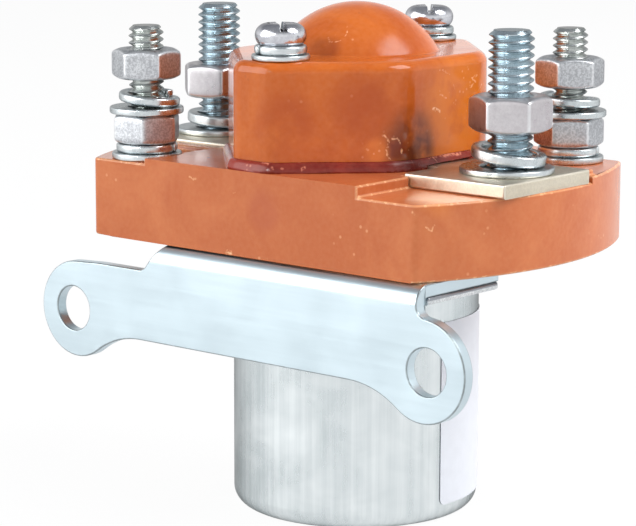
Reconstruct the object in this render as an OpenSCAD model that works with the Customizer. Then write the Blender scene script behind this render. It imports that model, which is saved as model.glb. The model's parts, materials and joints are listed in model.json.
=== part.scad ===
// DC contactor: a pull-down solenoid relay with two main studs and two coil studs.
// Origin at the centre of the can's flat bottom, +Z up along the can's axis.
// The bracket's mounting face looks along -Y. The main studs stand on the right (+X) and left.
// All lengths are millimetres.

/* [Can] */
// Outside diameter of the drawn can
can_d = 44.8; // [42:0.1:50]
// Height of the can's rim above its bottom
can_height = 45.8; // [43:0.1:58]
// Sheet thickness of the can
can_wall = 1.6; // [1:0.1:2.2]
// Outside radius of the can's bottom edge
can_round = 3.2; // [2.5:0.1:6]
// Width of each staking lug on the can's rim
lug_w = 6.5; // [4:0.5:9]
// Height of the lower edge of the label
label_z = 3.4; // [3.3:0.1:10]
// Height of the label
label_h = 33.4; // [20:0.1:36]
// Length of the label round the can
label_len = 41; // [20:0.5:60]
// Thickness of the label
label_t = 0.15; // [0.1:0.05:0.3]
// Angle round the can at which the label starts
label_start = -8; // [-30:1:30]

/* [Bracket] */
// Thickness of the bracket's sheet
sheet = 2.3; // [1.5:0.1:3]
// Thickness of the flux plate under the bracket's leg
flux_t = 1.4; // [1.3:0.1:2]
// Distance that the mounting face stands out in front of the base
face_step = 1.8; // [1.5:0.1:6]
// Outside radius of the bend
bend_r = 3.3; // [3:0.1:5]
// Reach of the bend to the left of the axis
bend_left = 19.5; // [12:0.1:24]
// Run of the bend's slanted left edge
bend_slant = 4; // [2:0.5:6]
// Reach of the bend to the right of the axis
bend_right = 39; // [37:0.1:40]
// Distance from the axis at which the right-hand tab ends
tab_back = 9; // [7:0.1:14]
// Width of the yoke that shows round the can
yoke_rim = 6.4; // [6.2:0.1:6.6]
// Distance between the two mounting holes
hole_spacing = 82.5; // [78:0.1:88]
// Diameter of the mounting holes
hole_d = 8.2; // [5:0.1:9]
// Depth of the mounting holes below the base
hole_drop = 14.1; // [13:0.1:16]
// Radius of the two ears
ear_r = 8.9; // [8:0.1:10]
// Distance between the centres of the two ears
ear_spacing = 80.8; // [78:0.1:88]
// Depth of the left arm's upper edge below the base
arm_top_drop = 4.9; // [4:0.1:5.2]
// Depth of the plate's lower edge below the base
plate_drop = 17.8; // [16:0.1:19]
// Radius of the hollow between the lower edge and each ear
hollow_r = 18; // [8:0.5:24]

/* [Base] */
// Length of the base across its curved ends
base_len = 90.7; // [90:0.1:96]
// Radius of the base's curved ends
base_end_r = 59; // [50:1:80]
// Width of the base across its flats
base_w = 60; // [58.5:0.1:63]
// Height of the base
base_h = 15.1; // [13:0.1:20]
// Radius of the base's four corners
base_corner_r = 1.5; // [1:0.5:4]
// Width of the raised land that carries the cover
land_w = 49.4; // [47:0.1:52]
// Depth of the terminal recesses below the land
recess_depth = 2; // [1.7:0.1:2.6]
// Depth of the coil pads below the land
pad_depth = 1; // [0.6:0.1:1.6]
// Distance from the axis plane to the rib that ends each terminal recess
recess_end = 10.6; // [10.4:0.1:12]
// Thickness of that rib
rib_t = 2; // [1:0.1:3]

/* [Cover] */
// Height of the cover without its dome
cover_h = 19; // [17:0.1:24]
// Width of the cover across its sides
cover_w = 40.8; // [39:0.1:43]
// Distance from the cover's ends to the base's flats
cover_set = 1.2; // [1.2:0.1:2]
// Width of the cover's two end faces, between their corners
cover_end_w = 8; // [6.5:0.1:9]
// Radius of the corners between the sides and the slanted faces
side_corner_r = 10; // [7:0.5:12]
// Radius of the corners between the ends and the slanted faces
end_corner_r = 3.5; // [2.6:0.1:4]
// Radius of the cover's top edge
cover_edge_r = 2; // [1:0.1:2.4]
// Wall thickness of the cover
cover_wall = 2.5; // [2:0.1:3]
// Thickness of the cover's roof
roof_t = 3; // [2.5:0.1:3.5]
// Radius of the dome's sphere
dome_r = 16.8; // [15:0.1:18]
// Height of the dome above the roof
dome_h = 8.6; // [7.5:0.1:10]
// Distance from the cover's ends to the hollow between the two screw posts
post_len = 13.3; // [12.4:0.1:14]
// Distance from the cover's ends to each cover screw
screw_set = 6.05; // [5.6:0.05:6.8]
// Angle of the line through the cover screws from the Y axis
screw_turn = 3.8; // [0:0.1:6]
// Width of the sealant bead
bead_w = 1.15; // [0.6:0.05:1.2]
// Height of the sealant bead
bead_h = 1.9; // [1:0.1:3]

/* [Main terminals] */
// Distance of each main stud from the base's curved end
main_end = 8.85; // [8.15:0.05:9.85]
// Offset of the right main stud towards the front
main_y = 3; // [1.5:0.1:3.5]
// Outside diameter of the main thread
main_d = 7.94; // [7:0.01:8]
// Pitch-line diameter of the main thread
main_pitch_d = 7.1; // [6.4:0.01:7.2]
// Height of the main studs above the land
main_rise = 25; // [23:0.1:32]
// Thickness of the terminal plates
plate_t = 2.5; // [1.8:0.1:2.8]
// Inner edge of the terminal plates, from the axis
plate_in = 23.3; // [22.8:0.1:24]
// Distance of each terminal plate's outer edge from the base's curved end
plate_end = 0.55; // [0:0.05:1.35]
// Front edge of the right plate, in front of the axis
plate_front = 15.6; // [14:0.1:16.4]
// Back edge of the right plate, behind the axis
plate_back = 9.2; // [7:0.1:10]
// Width of each plate's tongue under the cover
tongue_w = 13; // [10:0.1:14]
// Distance from the axis to the end of each tongue
tongue_end = 7; // [6:0.1:7.4]
// Diameter of the main flat washers
main_washer_d = 16.4; // [15:0.1:17]
// Thickness of the main flat washers
main_washer_t = 1.1; // [1:0.1:1.6]
// Outside diameter of the main spring washers
main_spring_d = 13.1; // [12:0.1:14]
// Thickness of the main spring washers
main_spring_t = 2; // [1.6:0.1:2.2]
// Width across flats of the main nuts
main_af = 12.7; // [12:0.1:13]
// Height of the main nuts
main_nut_h = 6.3; // [5:0.1:7]
// Height of the right main nut's underside above the land
right_nut_rise = 7.6; // [7:0.1:10]
// Height of the left main nut's underside above the land
left_nut_rise = 7.4; // [6.6:0.1:10]

/* [Coil terminals] */
// Distance of each coil stud from the base's curved end
coil_end = 15.35; // [14.85:0.05:15.55]
// Distance of each coil stud from the base's flat
coil_set = 6.4; // [6:0.1:7]
// Outside diameter of the coil thread
coil_d = 6.35; // [5.8:0.01:6.4]
// Pitch-line diameter of the coil thread
coil_pitch_d = 5.5; // [5:0.01:5.6]
// Height of the coil studs above the land
coil_rise = 23.1; // [21.5:0.1:30]
// Diameter of the lower coil flat washers
coil_washer_d = 12.7; // [11:0.1:13]
// Diameter of the upper coil flat washers
upper_washer_d = 13.4; // [11:0.1:13.6]
// Thickness of the coil flat washers
coil_washer_t = 1.2; // [0.8:0.1:1.4]
// Outside diameter of the coil spring washers
coil_spring_d = 11.1; // [10.2:0.1:11.4]
// Thickness of the coil spring washers
coil_spring_t = 1.6; // [1.2:0.1:1.8]
// Width across flats of the coil nuts
coil_af = 11.1; // [10:0.1:11.4]
// Height of the coil nuts
coil_nut_h = 5.4; // [4.5:0.1:5.6]
// Height of the front upper nut's underside above the land
upper_front_rise = 13.5; // [13.3:0.1:14.4]
// Height of the back upper nut's underside above the land
upper_back_rise = 12.5; // [12.3:0.1:14.4]

/* [Cover screws] */
// Thread diameter of the cover screws
cover_screw_d = 5; // [4:0.1:5]
// Length of the cover screws under the head
cover_screw_len = 30; // [27:0.5:31]
// Diameter of the pan heads
head_d = 9; // [8.4:0.1:9.4]
// Height of the pan heads
head_h = 3.7; // [3.2:0.1:4.2]
// Outside diameter of the screws' spring washers
small_spring_d = 9.2; // [8:0.1:9.4]
// Thickness of the screws' spring washers
small_spring_t = 1.6; // [1.2:0.1:1.8]
// Diameter of the screws' flat washers
small_washer_d = 10.2; // [9.6:0.1:10.6]
// Thickness of the screws' flat washers
small_washer_t = 1; // [0.6:0.1:1.2]

/* [Magnet and contacts] */
// Travel of the plunger
stroke = 3; // [2:0.1:4]
// Gap between each pair of contacts at rest
contact_gap = 2.4; // [1.5:0.1:3]
// Diameter of the plunger
plunger_d = 16.4; // [14:0.1:16.4]
// Height of the pole piece above the can's floor
pole_h = 14.4; // [12:0.1:18]
// Diameter of the rod that carries the bridge
rod_d = 5; // [4:0.1:5]
// Gap between the bobbin's flanges and the can
flange_gap = 0.6; // [0.2:0.1:1]
// Depth of the winding below the rim of the flanges
winding_drop = 1.2; // [0.5:0.1:4]
// Distance from the axis to each contact
contact_x = 11; // [10.8:0.1:11.4]
// Diameter of the contacts
contact_d = 7; // [5:0.1:7]
// Thickness of each contact
contact_t = 1.5; // [1:0.1:1.8]
// Length of the contact bridge
bridge_len = 30; // [29.5:0.1:31]
// Width of the contact bridge
bridge_w = 12; // [10:0.1:13]
// Thickness of the contact bridge
bridge_t = 2.5; // [2:0.1:3]

/* [Hidden] */
$fn = 64;

// Radial width of the spring washers, their split in degrees, and the yoke's cut at the back
main_spring_wire = 1.85;
coil_spring_wire = 1.7;
split = 10;
yoke_trim = 2.2;

// Clearances: a sliding fit, a hole round a fixed piece, a held fit, and the gap left where
// two pieces of a moving set meet
slide = 0.1;
ease = 0.15;
snug = 0.02;
rest_gap = 0.05;
// Overrun of a cutting solid past the face it opens
over = 1;

// Heights of the main faces
leg_z = can_height + flux_t;
base_z = leg_z + sheet;
land_z = base_z + base_h;
floor_z = land_z - recess_depth;
pad_z = land_z - pad_depth;
plate_z = floor_z + plate_t;
roof_z = land_z + cover_h;
dome_z = roof_z + dome_h - dome_r;

// Widths that follow the can and the base
face_y = base_w / 2 + face_step;
yoke_d = can_d + 2 * yoke_rim;
cover_len = base_w - 2 * cover_set;
chamber_len = cover_len - 2 * post_len;
screw_reach = cover_len / 2 - screw_set;
coil_y = base_w / 2 - coil_set;
coil_x = base_len / 2 - coil_end;
main_x = base_len / 2 - main_end;
plate_out = base_len / 2 - plate_end;
rib_reach = plate_out - 1.5;

// Places of the studs and screws
main_right = [main_x, -main_y];
main_left = [-main_x, main_y];
coil_front = [-coil_x, -coil_y];
coil_back = [coil_x, coil_y];
screw_places = [for (a = [-90, 90]) screw_reach * [cos(a + screw_turn), sin(a + screw_turn)]];

// Angle of one corner of each nut, as it was left
main_nut_turns = [32.5, 17];
lower_nut_turns = [6.6, 38];
upper_nut_turns = [35.5, 46];
slot_turns = [-41, -47];

// Where the loose washers came to rest, seen from their studs
right_washer_shift = [-0.36, -0.32];
right_spring_shift = [-0.26, -0.22];
left_spring_shift = [0.3, 0.26];
front_spring_shift = [0.34, 0.29];

// Magnet, from the can's floor up
pole_z = can_wall + pole_h;
plunger_z = pole_z + stroke + slide;
plunger_top = base_z - rest_gap;
stop_t = 1.2;
stop_d = plunger_d + 3;
rod_sink = 10;
bush_d = rod_d + 3;
spring_wire = 0.9;
spring_pocket_d = 9;
return_spring_d = spring_pocket_d - 2 * spring_wire;
pole_pocket = 8;
plunger_pocket = 6;
bobbin_d = can_d - 2 * can_wall - 2 * flange_gap;
winding_d = bobbin_d - 2 * winding_drop;
bobbin_bore = plunger_d + 0.8;
bobbin_low = can_wall + 2.4;
bobbin_top = can_height - 0.7;
flange_t = 1.5;
bobbin_wall = 1.2;

// Contacts, from the tongues up
fixed_top = plate_z + contact_t;
moving_low = fixed_top + contact_gap + rest_gap;
bridge_z = moving_low + contact_t;
bridge_top = bridge_z + bridge_t;
clip_t = 0.8;
clip_d = rod_d + 3.2;
seat_t = 1;
seat_z = roof_z - 1;
seat_d = 12.4;
contact_spring_d = seat_d - 2.4;
rod_top = seat_z + seat_t + clip_t + 2;
contact_wire = 1.1;

// Studs and screws below the base's top
main_head_h = 5;
coil_head_h = 4;
head_sink = 1;
insert_d = 7.6;
insert_h = 9.9;
bracket_screw_d = 3.5;
bracket_screw_head = 6;
bracket_screw_reach = can_d / 2 + 2.8;
bracket_screw_depth = 8;
bracket_screw_turns = [60, 120, 240, 300];
lug_turns = [45, 135, 225, 315];

// Coil leads run from the winding through the yoke to the heads of the coil studs
lead_d = 1.8;
lead_reach = bobbin_bore / 2 + bobbin_wall + 6.7;
lead_turn = atan2(coil_y, coil_x);
lead_z = base_z + 1.6;
coil_head_reach = norm(coil_front) - coil_af / 2;

// A closed solid through rings of points, each ring counter-clockwise seen from the next one
module skin(rings) {
  n = len(rings[0]);
  m = len(rings);
  sides = [for (i = [0:m - 2], j = [0:n - 1]) each [
    [i * n + j, (i + 1) * n + (j + 1) % n, i * n + (j + 1) % n],
    [i * n + j, (i + 1) * n + j, (i + 1) * n + (j + 1) % n]]];
  low = [for (j = [0:n - 1]) j];
  high = [for (j = [n - 1:-1:0]) (m - 1) * n + j];
  polyhedron([for (ring = rings) each ring], concat([low], sides, [high]));
}

// A closed loop of sections, such as a bead that runs round a foot
module loop_skin(rings) {
  n = len(rings[0]);
  m = len(rings);
  faces = [for (i = [0:m - 1], j = [0:n - 1]) each [
    [i * n + j, ((i + 1) % m) * n + (j + 1) % n, i * n + (j + 1) % n],
    [i * n + j, ((i + 1) % m) * n + j, ((i + 1) % m) * n + (j + 1) % n]]];
  polyhedron([for (ring = rings) each ring], faces);
}

// Points of a convex outline with rounded corners, grown outwards by d
function rounded(corners, radii, d = 0, steps = 6) =
  let (n = len(corners))
  [for (i = [0:n - 1])
    let (
      a = corners[(i + n - 1) % n],
      b = corners[i],
      c = corners[(i + 1) % n],
      u = (b - a) / norm(b - a),
      v = (c - b) / norm(c - b),
      p = [u[1], -u[0]],
      q = [v[1], -v[0]],
      centre = b - radii[i] * (p + q) / (1 + p * q),
      start = atan2(p[1], p[0]),
      turn = acos(p * q))
    for (k = [0:steps])
      centre + (radii[i] + d) * [cos(start + turn * k / steps), sin(start + turn * k / steps)]];

function at_height(outline, z) = [for (p = outline) [p[0], p[1], z]];

// The cover's plan, an eight-sided outline
cover_x = cover_w / 2;
cover_y = cover_len / 2;
slant = cover_y + cover_end_w / 2;
cover_corners = [
  [cover_x, cover_x - slant], [cover_x, slant - cover_x],
  [slant - cover_y, cover_y], [cover_y - slant, cover_y],
  [-cover_x, slant - cover_x], [-cover_x, cover_x - slant],
  [cover_y - slant, -cover_y], [slant - cover_y, -cover_y]];
cover_radii = [for (i = [0:1]) each [side_corner_r, side_corner_r, end_corner_r, end_corner_r]];
function cover_plan(d) = rounded(cover_corners, cover_radii, d);

// A round wire coil: turns of the given mean diameter between two heights, with closed ends
module coil_spring(mean_d, wire, z0, z1, turns) {
  steps = 18;
  sides = 8;
  count = round(turns * steps);
  closed = 0.75 * steps;
  low = z0 + wire / 2;
  high = z1 - wire / 2;
  rise = high - low - 2 * wire * 0.78;
  function height(i) =
    i < closed ? low + wire * 0.78 * i / closed
    : i > count - closed ? high - wire * 0.78 * (count - i) / closed
    : low + wire * 0.78 + rise * (i - closed) / (count - 2 * closed);
  skin([for (i = [0:count])
    let (a = 360 * i / steps)
    [for (k = [0:sides - 1])
      let (b = -360 * k / sides, r = mean_d / 2 + wire / 2 * cos(b))
      [r * cos(a), r * sin(a), height(i) + wire / 2 * sin(b)]]]);
}

// A split spring washer, its ends apart by rise, split at the angle turn
module split_washer(bore, outer, t, rise, turn) {
  steps = 32;
  skin([for (i = [0:steps])
    let (a = turn - split / 2 - (360 - split) * i / steps, lift = rise * i / steps)
    [for (p = [[bore / 2, 0], [outer / 2, 0], [outer / 2, t], [bore / 2, t]])
      [p[0] * cos(a), p[0] * sin(a), p[1] + lift]]]);
}

// A hexagonal nut with 30 degree chamfers on both faces
module hex_nut(af, h, bore, turn) {
  corner = af / sqrt(3);
  flat = af / 2 * 0.96;
  reach = corner + over;
  drop = (reach - flat) * tan(30);
  difference() {
    intersection() {
      rotate(turn) cylinder(d = 2 * corner, h = h, $fn = 6);
      rotate_extrude() polygon([[0, 0], [flat, 0], [reach, drop],
        [reach, h - drop], [flat, h], [0, h]]);
    }
    translate([0, 0, -over]) cylinder(d = bore, h = h + 2 * over);
  }
}

module ring(outer, bore, h) {
  difference() {
    cylinder(d = outer, h = h);
    translate([0, 0, -over]) cylinder(d = bore, h = h + 2 * over);
  }
}

// A stud with a hexagonal head below. Inside each nut it is drawn at the thread's pitch line.
module stud(d, pitch_d, head_af, head_h, z0, z1, nuts) {
  tip = 0.8;
  difference() {
    union() {
      translate([0, 0, z0]) cylinder(d = 2 * head_af / sqrt(3), h = head_h, $fn = 6);
      translate([0, 0, z0 + head_h]) cylinder(d = d, h = z1 - tip - z0 - head_h);
      translate([0, 0, z1 - tip]) cylinder(d1 = d, d2 = d - 1.6 * tip, h = tip);
    }
    for (nut = nuts) translate([0, 0, nut[0]]) ring(d + over, pitch_d, nut[1]);
  }
}

// A loose spring washer that rests on what is below and leans, its high side towards one angle
module leaning_washer(bore, outer, t, rise, turn, lean, toward) {
  steps = 32;
  low = min([for (i = [0:steps])
    let (a = turn - split / 2 - (360 - split) * i / steps)
    rise * i / steps * cos(lean) + outer / 2 * sin(lean) * cos(a - toward)]);
  translate([0, 0, snug - low]) rotate(toward) rotate([0, -lean, 0]) rotate(-toward)
    split_washer(bore, outer, t, rise, turn);
}

module at_pair(places) {
  for (p = places) translate([p[0], p[1], 0]) children();
}

module can() color("#c6cacb") {
  difference() {
    rotate_extrude($fn = 128) {
      translate([0, can_round]) square([can_d / 2, can_height - can_round]);
      square([can_d / 2 - can_round, can_round]);
      intersection() {
        translate([can_d / 2 - can_round, can_round]) circle(can_round);
        translate([can_d / 2 - can_round, 0]) square(can_round);
      }
    }
    inner_round = can_round - can_wall;
    inner_r = can_d / 2 - can_wall;
    rotate_extrude($fn = 128) {
      translate([0, can_round]) square([inner_r, can_height]);
      translate([0, can_wall]) square([inner_r - inner_round, can_height]);
      intersection() {
        translate([inner_r - inner_round, can_round]) circle(inner_round);
        translate([inner_r - inner_round, can_wall]) square(inner_round);
      }
    }
  }
  lugs(lug_w, 0);
}

// The rim's lugs, which pass up through the flux plate and the yoke and are staked there
module lugs(w, gap) {
  reach = base_z - can_height + over / 2;
  intersection() {
    translate([0, 0, can_height - over / 2])
      ring(can_d + 2 * gap, can_d - 2 * can_wall - 2 * gap, reach - 0.3 + (gap > 0 ? over : 0));
    for (a = lug_turns) rotate(a) translate([0, -w / 2 - gap, can_height - over / 2])
      cube([can_d, w + 2 * gap, reach + over]);
  }
}

// The yoke's plan: a disc round the can, and a tab that runs on to the right-hand ear
module yoke_outline(gap) {
  front = -face_y + bend_r + gap;
  intersection() {
    circle(d = yoke_d, $fn = 128);
    translate([-yoke_d, front]) square([2 * yoke_d, 2 * face_y - bend_r - yoke_trim - gap]);
  }
  translate([-bend_left, front]) square([bend_left + bend_right, -tab_back - front]);
}

// Holes for the lugs, the plunger and the leads, from z up
module yoke_holes(z, h) {
  translate([0, 0, z - over]) cylinder(d = bobbin_bore, h = h + 2 * over);
  lugs(lug_w, ease);
  lead_cuts(z - over, h + 2 * over);
}

module flux_plate() color("#c9d0d3")
  difference() {
    translate([0, 0, can_height]) linear_extrude(flux_t) yoke_outline(0.1);
    yoke_holes(can_height, flux_t);
    for (a = bracket_screw_turns) rotate(a) translate([bracket_screw_reach, 0, can_height])
      screw_cut(ease);
  }

module can_label() color("#f2f3f8")
  rotate(label_start) translate([0, 0, label_z])
    rotate_extrude(angle = label_len / (PI * can_d) * 360, $fn = 128)
      translate([can_d / 2, 0]) square([label_t, label_h]);

module pole_piece() color("#8f9294") translate([0, 0, can_wall])
  difference() {
    cylinder(d = plunger_d, h = pole_h);
    translate([0, 0, pole_h - pole_pocket]) cylinder(d = spring_pocket_d, h = pole_h);
  }

module coil_bobbin() color("#3a3a3c")
  difference() {
    union() {
      translate([0, 0, bobbin_low]) cylinder(d = bobbin_d, h = flange_t);
      translate([0, 0, bobbin_top - flange_t]) cylinder(d = bobbin_d, h = flange_t);
      translate([0, 0, bobbin_low])
        cylinder(d = bobbin_bore + 2 * bobbin_wall, h = bobbin_top - bobbin_low);
    }
    translate([0, 0, bobbin_low - over])
      cylinder(d = bobbin_bore, h = bobbin_top - bobbin_low + 2 * over);
    lead_cuts(bobbin_top - flange_t - over, flange_t + 2 * over);
  }

module coil_winding() color("#a8602f")
  translate([0, 0, bobbin_low + flange_t])
    ring(winding_d, bobbin_bore + 2 * bobbin_wall + 2 * snug, bobbin_top - bobbin_low - 2 * flange_t);

// Holes for the two leads
module lead_cuts(z, h) {
  for (a = [0, 180]) rotate(lead_turn + a) translate([lead_reach, 0, z])
    cylinder(d = lead_d + 4 * ease, h = h, $fn = 24);
}

module coil_leads() color("#b7332c")
  for (a = [0, 180]) rotate(lead_turn + a) {
    low = bobbin_top - flange_t;
    translate([lead_reach, 0, low]) cylinder(d = lead_d, h = lead_z - low, $fn = 24);
    translate([lead_reach, 0, lead_z]) sphere(d = lead_d, $fn = 24);
    translate([lead_reach, 0, lead_z]) rotate([0, 90, 0])
      cylinder(d = lead_d, h = coil_head_reach - lead_reach, $fn = 24);
  }

module plunger() color("#9a9da0")
  difference() {
    translate([0, 0, plunger_z]) cylinder(d = plunger_d, h = plunger_top - plunger_z);
    translate([0, 0, plunger_z - over]) cylinder(d = spring_pocket_d, h = plunger_pocket + over);
    translate([0, 0, plunger_top - rod_sink]) cylinder(d = rod_d + 2 * snug, h = rod_sink + over);
  }

module plunger_rod() color("#c9b06a")
  difference() {
    translate([0, 0, plunger_top - rod_sink]) cylinder(d = rod_d, h = rod_top - plunger_top + rod_sink);
    for (z = [bridge_z - clip_t - rest_gap, seat_z + seat_t]) translate([0, 0, z])
      ring(rod_d + over, rod_d - 1.2, clip_t);
  }

module guide_bush() color("#c9a95a") translate([0, 0, base_z + stop_t])
  ring(bush_d, rod_d + 2 * slide, base_h - stop_t - 1);

module stop_washer() color("#b9a284") translate([0, 0, base_z])
  ring(stop_d, rod_d + 8 * slide, stop_t);

module return_spring() color("#b9bdc0")
  coil_spring(return_spring_d, spring_wire, pole_z - pole_pocket, plunger_z + plunger_pocket, 6);

// The bend in profile, drawn across Y and Z, with the top of the upright plate below it
module bend_profile() {
  translate([-face_y + bend_r - snug, leg_z]) square([over / 2, sheet]);
  translate([-face_y, base_z - arm_top_drop - over]) square([sheet, arm_top_drop + over - bend_r]);
  intersection() {
    translate([-face_y + bend_r, base_z - bend_r]) difference() {
      circle(bend_r);
      circle(bend_r - sheet);
    }
    translate([-face_y, base_z - bend_r]) square(bend_r);
  }
}

// One end of the upright plate: the ear and the hollow under it
module ear_outline() {
  ear = [ear_spacing / 2, base_z - hole_drop];
  low = base_z - plate_drop;
  reach = sqrt(pow(ear_r + hollow_r, 2) - pow(ear[1] - low + hollow_r, 2));
  hollow = [ear[0] - reach, low - hollow_r];
  translate(ear) circle(ear_r);
  difference() {
    polygon([[hollow[0], low + over], [hollow[0], low], hollow, ear, [ear[0], ear[1] + over]]);
    translate(hollow) circle(hollow_r);
  }
}

module upright_outline() {
  low = base_z - plate_drop;
  arm_top = base_z - arm_top_drop;
  ear_top = base_z - hole_drop + ear_r;
  nook = 2;
  for (side = [0, 1]) mirror([side, 0]) ear_outline();
  translate([-ear_spacing / 2, low + over / 2]) square([ear_spacing, ear_top - low - over / 2]);
  arm_start = 6 - ear_spacing / 2;
  polygon([[-ear_spacing / 2, ear_top - over], [-ear_spacing / 2, ear_top],
    [arm_start, arm_top], [bend_right, arm_top], [bend_right, ear_top - over]]);
  middle = 2 * (ear_spacing / 2 - sqrt(pow(ear_r + hollow_r, 2)
    - pow(plate_drop - hole_drop + hollow_r, 2)));
  translate([-middle / 2, low]) square([middle, over]);
  // Small hollow where the left arm meets the bend's slanted edge
  foot = [-bend_left - bend_slant, arm_top];
  angle = atan2(arm_top_drop, bend_slant);
  run = nook * tan(angle / 2);
  difference() {
    polygon([foot - [run, over], foot - [run, 0], foot + run * [cos(angle), sin(angle)], foot - [0, over]]);
    translate(foot + [-run, nook]) circle(nook);
  }
  // Small hollow where the bend's right end meets the ear
  difference() {
    translate([bend_right - over, ear_top - over]) square([over + nook, over + nook]);
    translate([bend_right + nook, ear_top + nook]) circle(nook);
    translate([bend_right, ear_top - over]) square([over + nook, over - 0.4]);
  }
}

module mounting_bracket() color("#d5dce0")
  difference() {
    reach = bend_left + bend_slant;
    union() {
      difference() {
        translate([-reach, 0, 0]) rotate([90, 0, 90]) linear_extrude(reach + bend_right) bend_profile();
        // The slanted left edge of the bend
        translate([0, over + bend_r - face_y, 0]) rotate([90, 0, 0]) linear_extrude(bend_r + 2 * over)
          polygon([[-reach, base_z - arm_top_drop], [-bend_left, base_z], [-bend_left, base_z + over],
            [-reach - over, base_z + over], [-reach - over, base_z - arm_top_drop]]);
      }
      translate([0, 0, leg_z]) linear_extrude(sheet) yoke_outline(0);
      translate([0, sheet - face_y, 0]) rotate([90, 0, 0]) linear_extrude(sheet) upright_outline();
    }
    for (x = [-1, 1]) translate([x * hole_spacing / 2, -face_y - over, base_z - hole_drop])
      rotate([-90, 0, 0]) cylinder(d = hole_d, h = sheet + 2 * over);
    yoke_holes(leg_z, sheet);
    for (a = bracket_screw_turns) rotate(a) translate([bracket_screw_reach, 0, can_height])
      screw_cut(ease);
  }

// A countersunk screw's head and shank, seen from the underside of the flux plate
module screw_cut(gap) {
  cone = (bracket_screw_head - bracket_screw_d) / 2;
  translate([0, 0, -over]) cylinder(d = bracket_screw_head + 2 * gap, h = over);
  cylinder(d1 = bracket_screw_head + 2 * gap, d2 = bracket_screw_d + 2 * gap, h = cone);
  cylinder(d = bracket_screw_d + 2 * gap, h = flux_t + sheet + over);
}

module bracket_screws() color("#c3c7ca")
  for (a = bracket_screw_turns) rotate(a) translate([bracket_screw_reach, 0, can_height]) {
    cone = (bracket_screw_head - bracket_screw_d) / 2;
    difference() {
      cylinder(d1 = bracket_screw_head, d2 = bracket_screw_d, h = cone);
      for (b = [0, 90]) rotate(b) translate([-1.6, -0.35, -over]) cube([3.2, 0.7, over + 0.7]);
    }
    translate([0, 0, cone]) cylinder(d = bracket_screw_d, h = bracket_screw_depth + flux_t + sheet - cone);
  }

// The base's plan: two flats, two wide arcs for the ends and four rounded corners
module base_outline() {
  mid = base_w / 2 - base_corner_r;
  end_x = base_len / 2 - base_end_r;
  reach = sqrt(pow(base_end_r - base_corner_r, 2) - pow(mid, 2));
  corner = [end_x + reach, mid];
  turn = atan2(mid, reach);
  on_arc = [end_x, 0] + base_end_r * [cos(turn), sin(turn)];
  outside = [[corner[0], base_w / 2], on_arc, on_arc * 1.2, [corner[0], base_w / 2 + 2 * base_corner_r]];
  difference() {
    intersection() {
      translate([end_x, 0]) circle(base_end_r, $fn = 360);
      translate([-end_x, 0]) circle(base_end_r, $fn = 360);
      square([base_len, base_w], center = true);
    }
    for (x = [-1, 1], y = [-1, 1]) polygon([for (p = outside) [x * p[0], y * p[1]]]);
  }
  for (x = [-1, 1], y = [-1, 1]) translate([x * corner[0], y * corner[1]]) circle(base_corner_r);
}

// The plan of one terminal plate, drawn for the right-hand side and grown by gap
module plate_outline(gap) {
  translate([plate_in - gap, -plate_front - gap])
    square([plate_out - plate_in + 2 * gap, plate_front + plate_back + 2 * gap]);
  translate([tongue_end - gap, -tongue_w / 2 - gap])
    square([plate_in - tongue_end + 2 * gap, tongue_w + 2 * gap]);
}

module base() color("#cf6f2e")
  difference() {
    translate([0, 0, base_z]) linear_extrude(base_h) base_outline();
    for (turn = [0, 180]) rotate(turn) {
      // Terminal recess and the channel for the tongue
      translate([land_w / 2, -base_w, floor_z]) cube([base_len, base_w + recess_end, recess_depth + over]);
      translate([0, 0, floor_z]) linear_extrude(recess_depth + over) plate_outline(ease);
      // Coil pad behind the rib
      translate([land_w / 2, recess_end + rib_t, pad_z]) cube([base_len, base_w, pad_depth + over]);
      translate([rib_reach, recess_end, pad_z]) cube([base_len, base_w, pad_depth + over]);
      // Main stud
      translate([main_x, -main_y, base_z - over]) {
        cylinder(d = main_d + ease, h = base_h + 2 * over);
        rotate(30)
          cylinder(d = 2 * (main_af + 2 * ease) / sqrt(3), h = main_head_h + head_sink + over, $fn = 6);
      }
      // Coil stud with its washer's seat and its lead's channel
      translate([coil_x, coil_y, pad_z]) cylinder(d = coil_washer_d + 4 * ease, h = pad_depth + over);
      translate([coil_x, coil_y, base_z - over]) {
        cylinder(d = coil_d + ease, h = base_h + 2 * over);
        rotate(lead_turn + 30)
          cylinder(d = 2 * (coil_af + 2 * ease) / sqrt(3), h = coil_head_h + head_sink + over, $fn = 6);
      }
      rotate(lead_turn) translate([lead_reach - lead_d, -lead_d / 2 - ease, base_z - over])
        cube([norm(coil_back) - lead_reach, lead_d + 2 * ease, lead_z - base_z + lead_d / 2 + ease + over]);
    }
    // Rod, bush and stop washer
    translate([0, 0, base_z - over]) cylinder(d = bush_d + 2 * snug, h = base_h + 2 * over);
    translate([0, 0, base_z - over]) cylinder(d = stop_d + 2 * ease, h = stop_t + over);
    // Inserts for the cover screws
    for (p = screw_places) translate([p[0], p[1], land_z - insert_h])
      cylinder(d = insert_d + 2 * snug, h = insert_h + over);
    for (p = screw_places) translate([p[0], p[1], roof_z + small_washer_t - cover_screw_len])
      cylinder(d = cover_screw_d + 2 * ease, h = cover_screw_len);
    for (a = bracket_screw_turns) rotate(a) translate([bracket_screw_reach, 0, base_z - over])
      cylinder(d = bracket_screw_d + 2 * snug, h = bracket_screw_depth + over + 0.5);
  }

module screw_inserts() color("#b99a4a")
  at_pair(screw_places) translate([0, 0, land_z - insert_h])
    ring(insert_d, cover_screw_d + 2 * snug, insert_h);

// Notches over the plates' tongues, which stand a little proud of the land
module tongue_cuts() {
  for (turn = [0, 180]) rotate(turn) translate([0, 0, land_z - over])
    linear_extrude(max(plate_z - land_z, 0) + over + rest_gap) plate_outline(ease);
}

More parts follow.
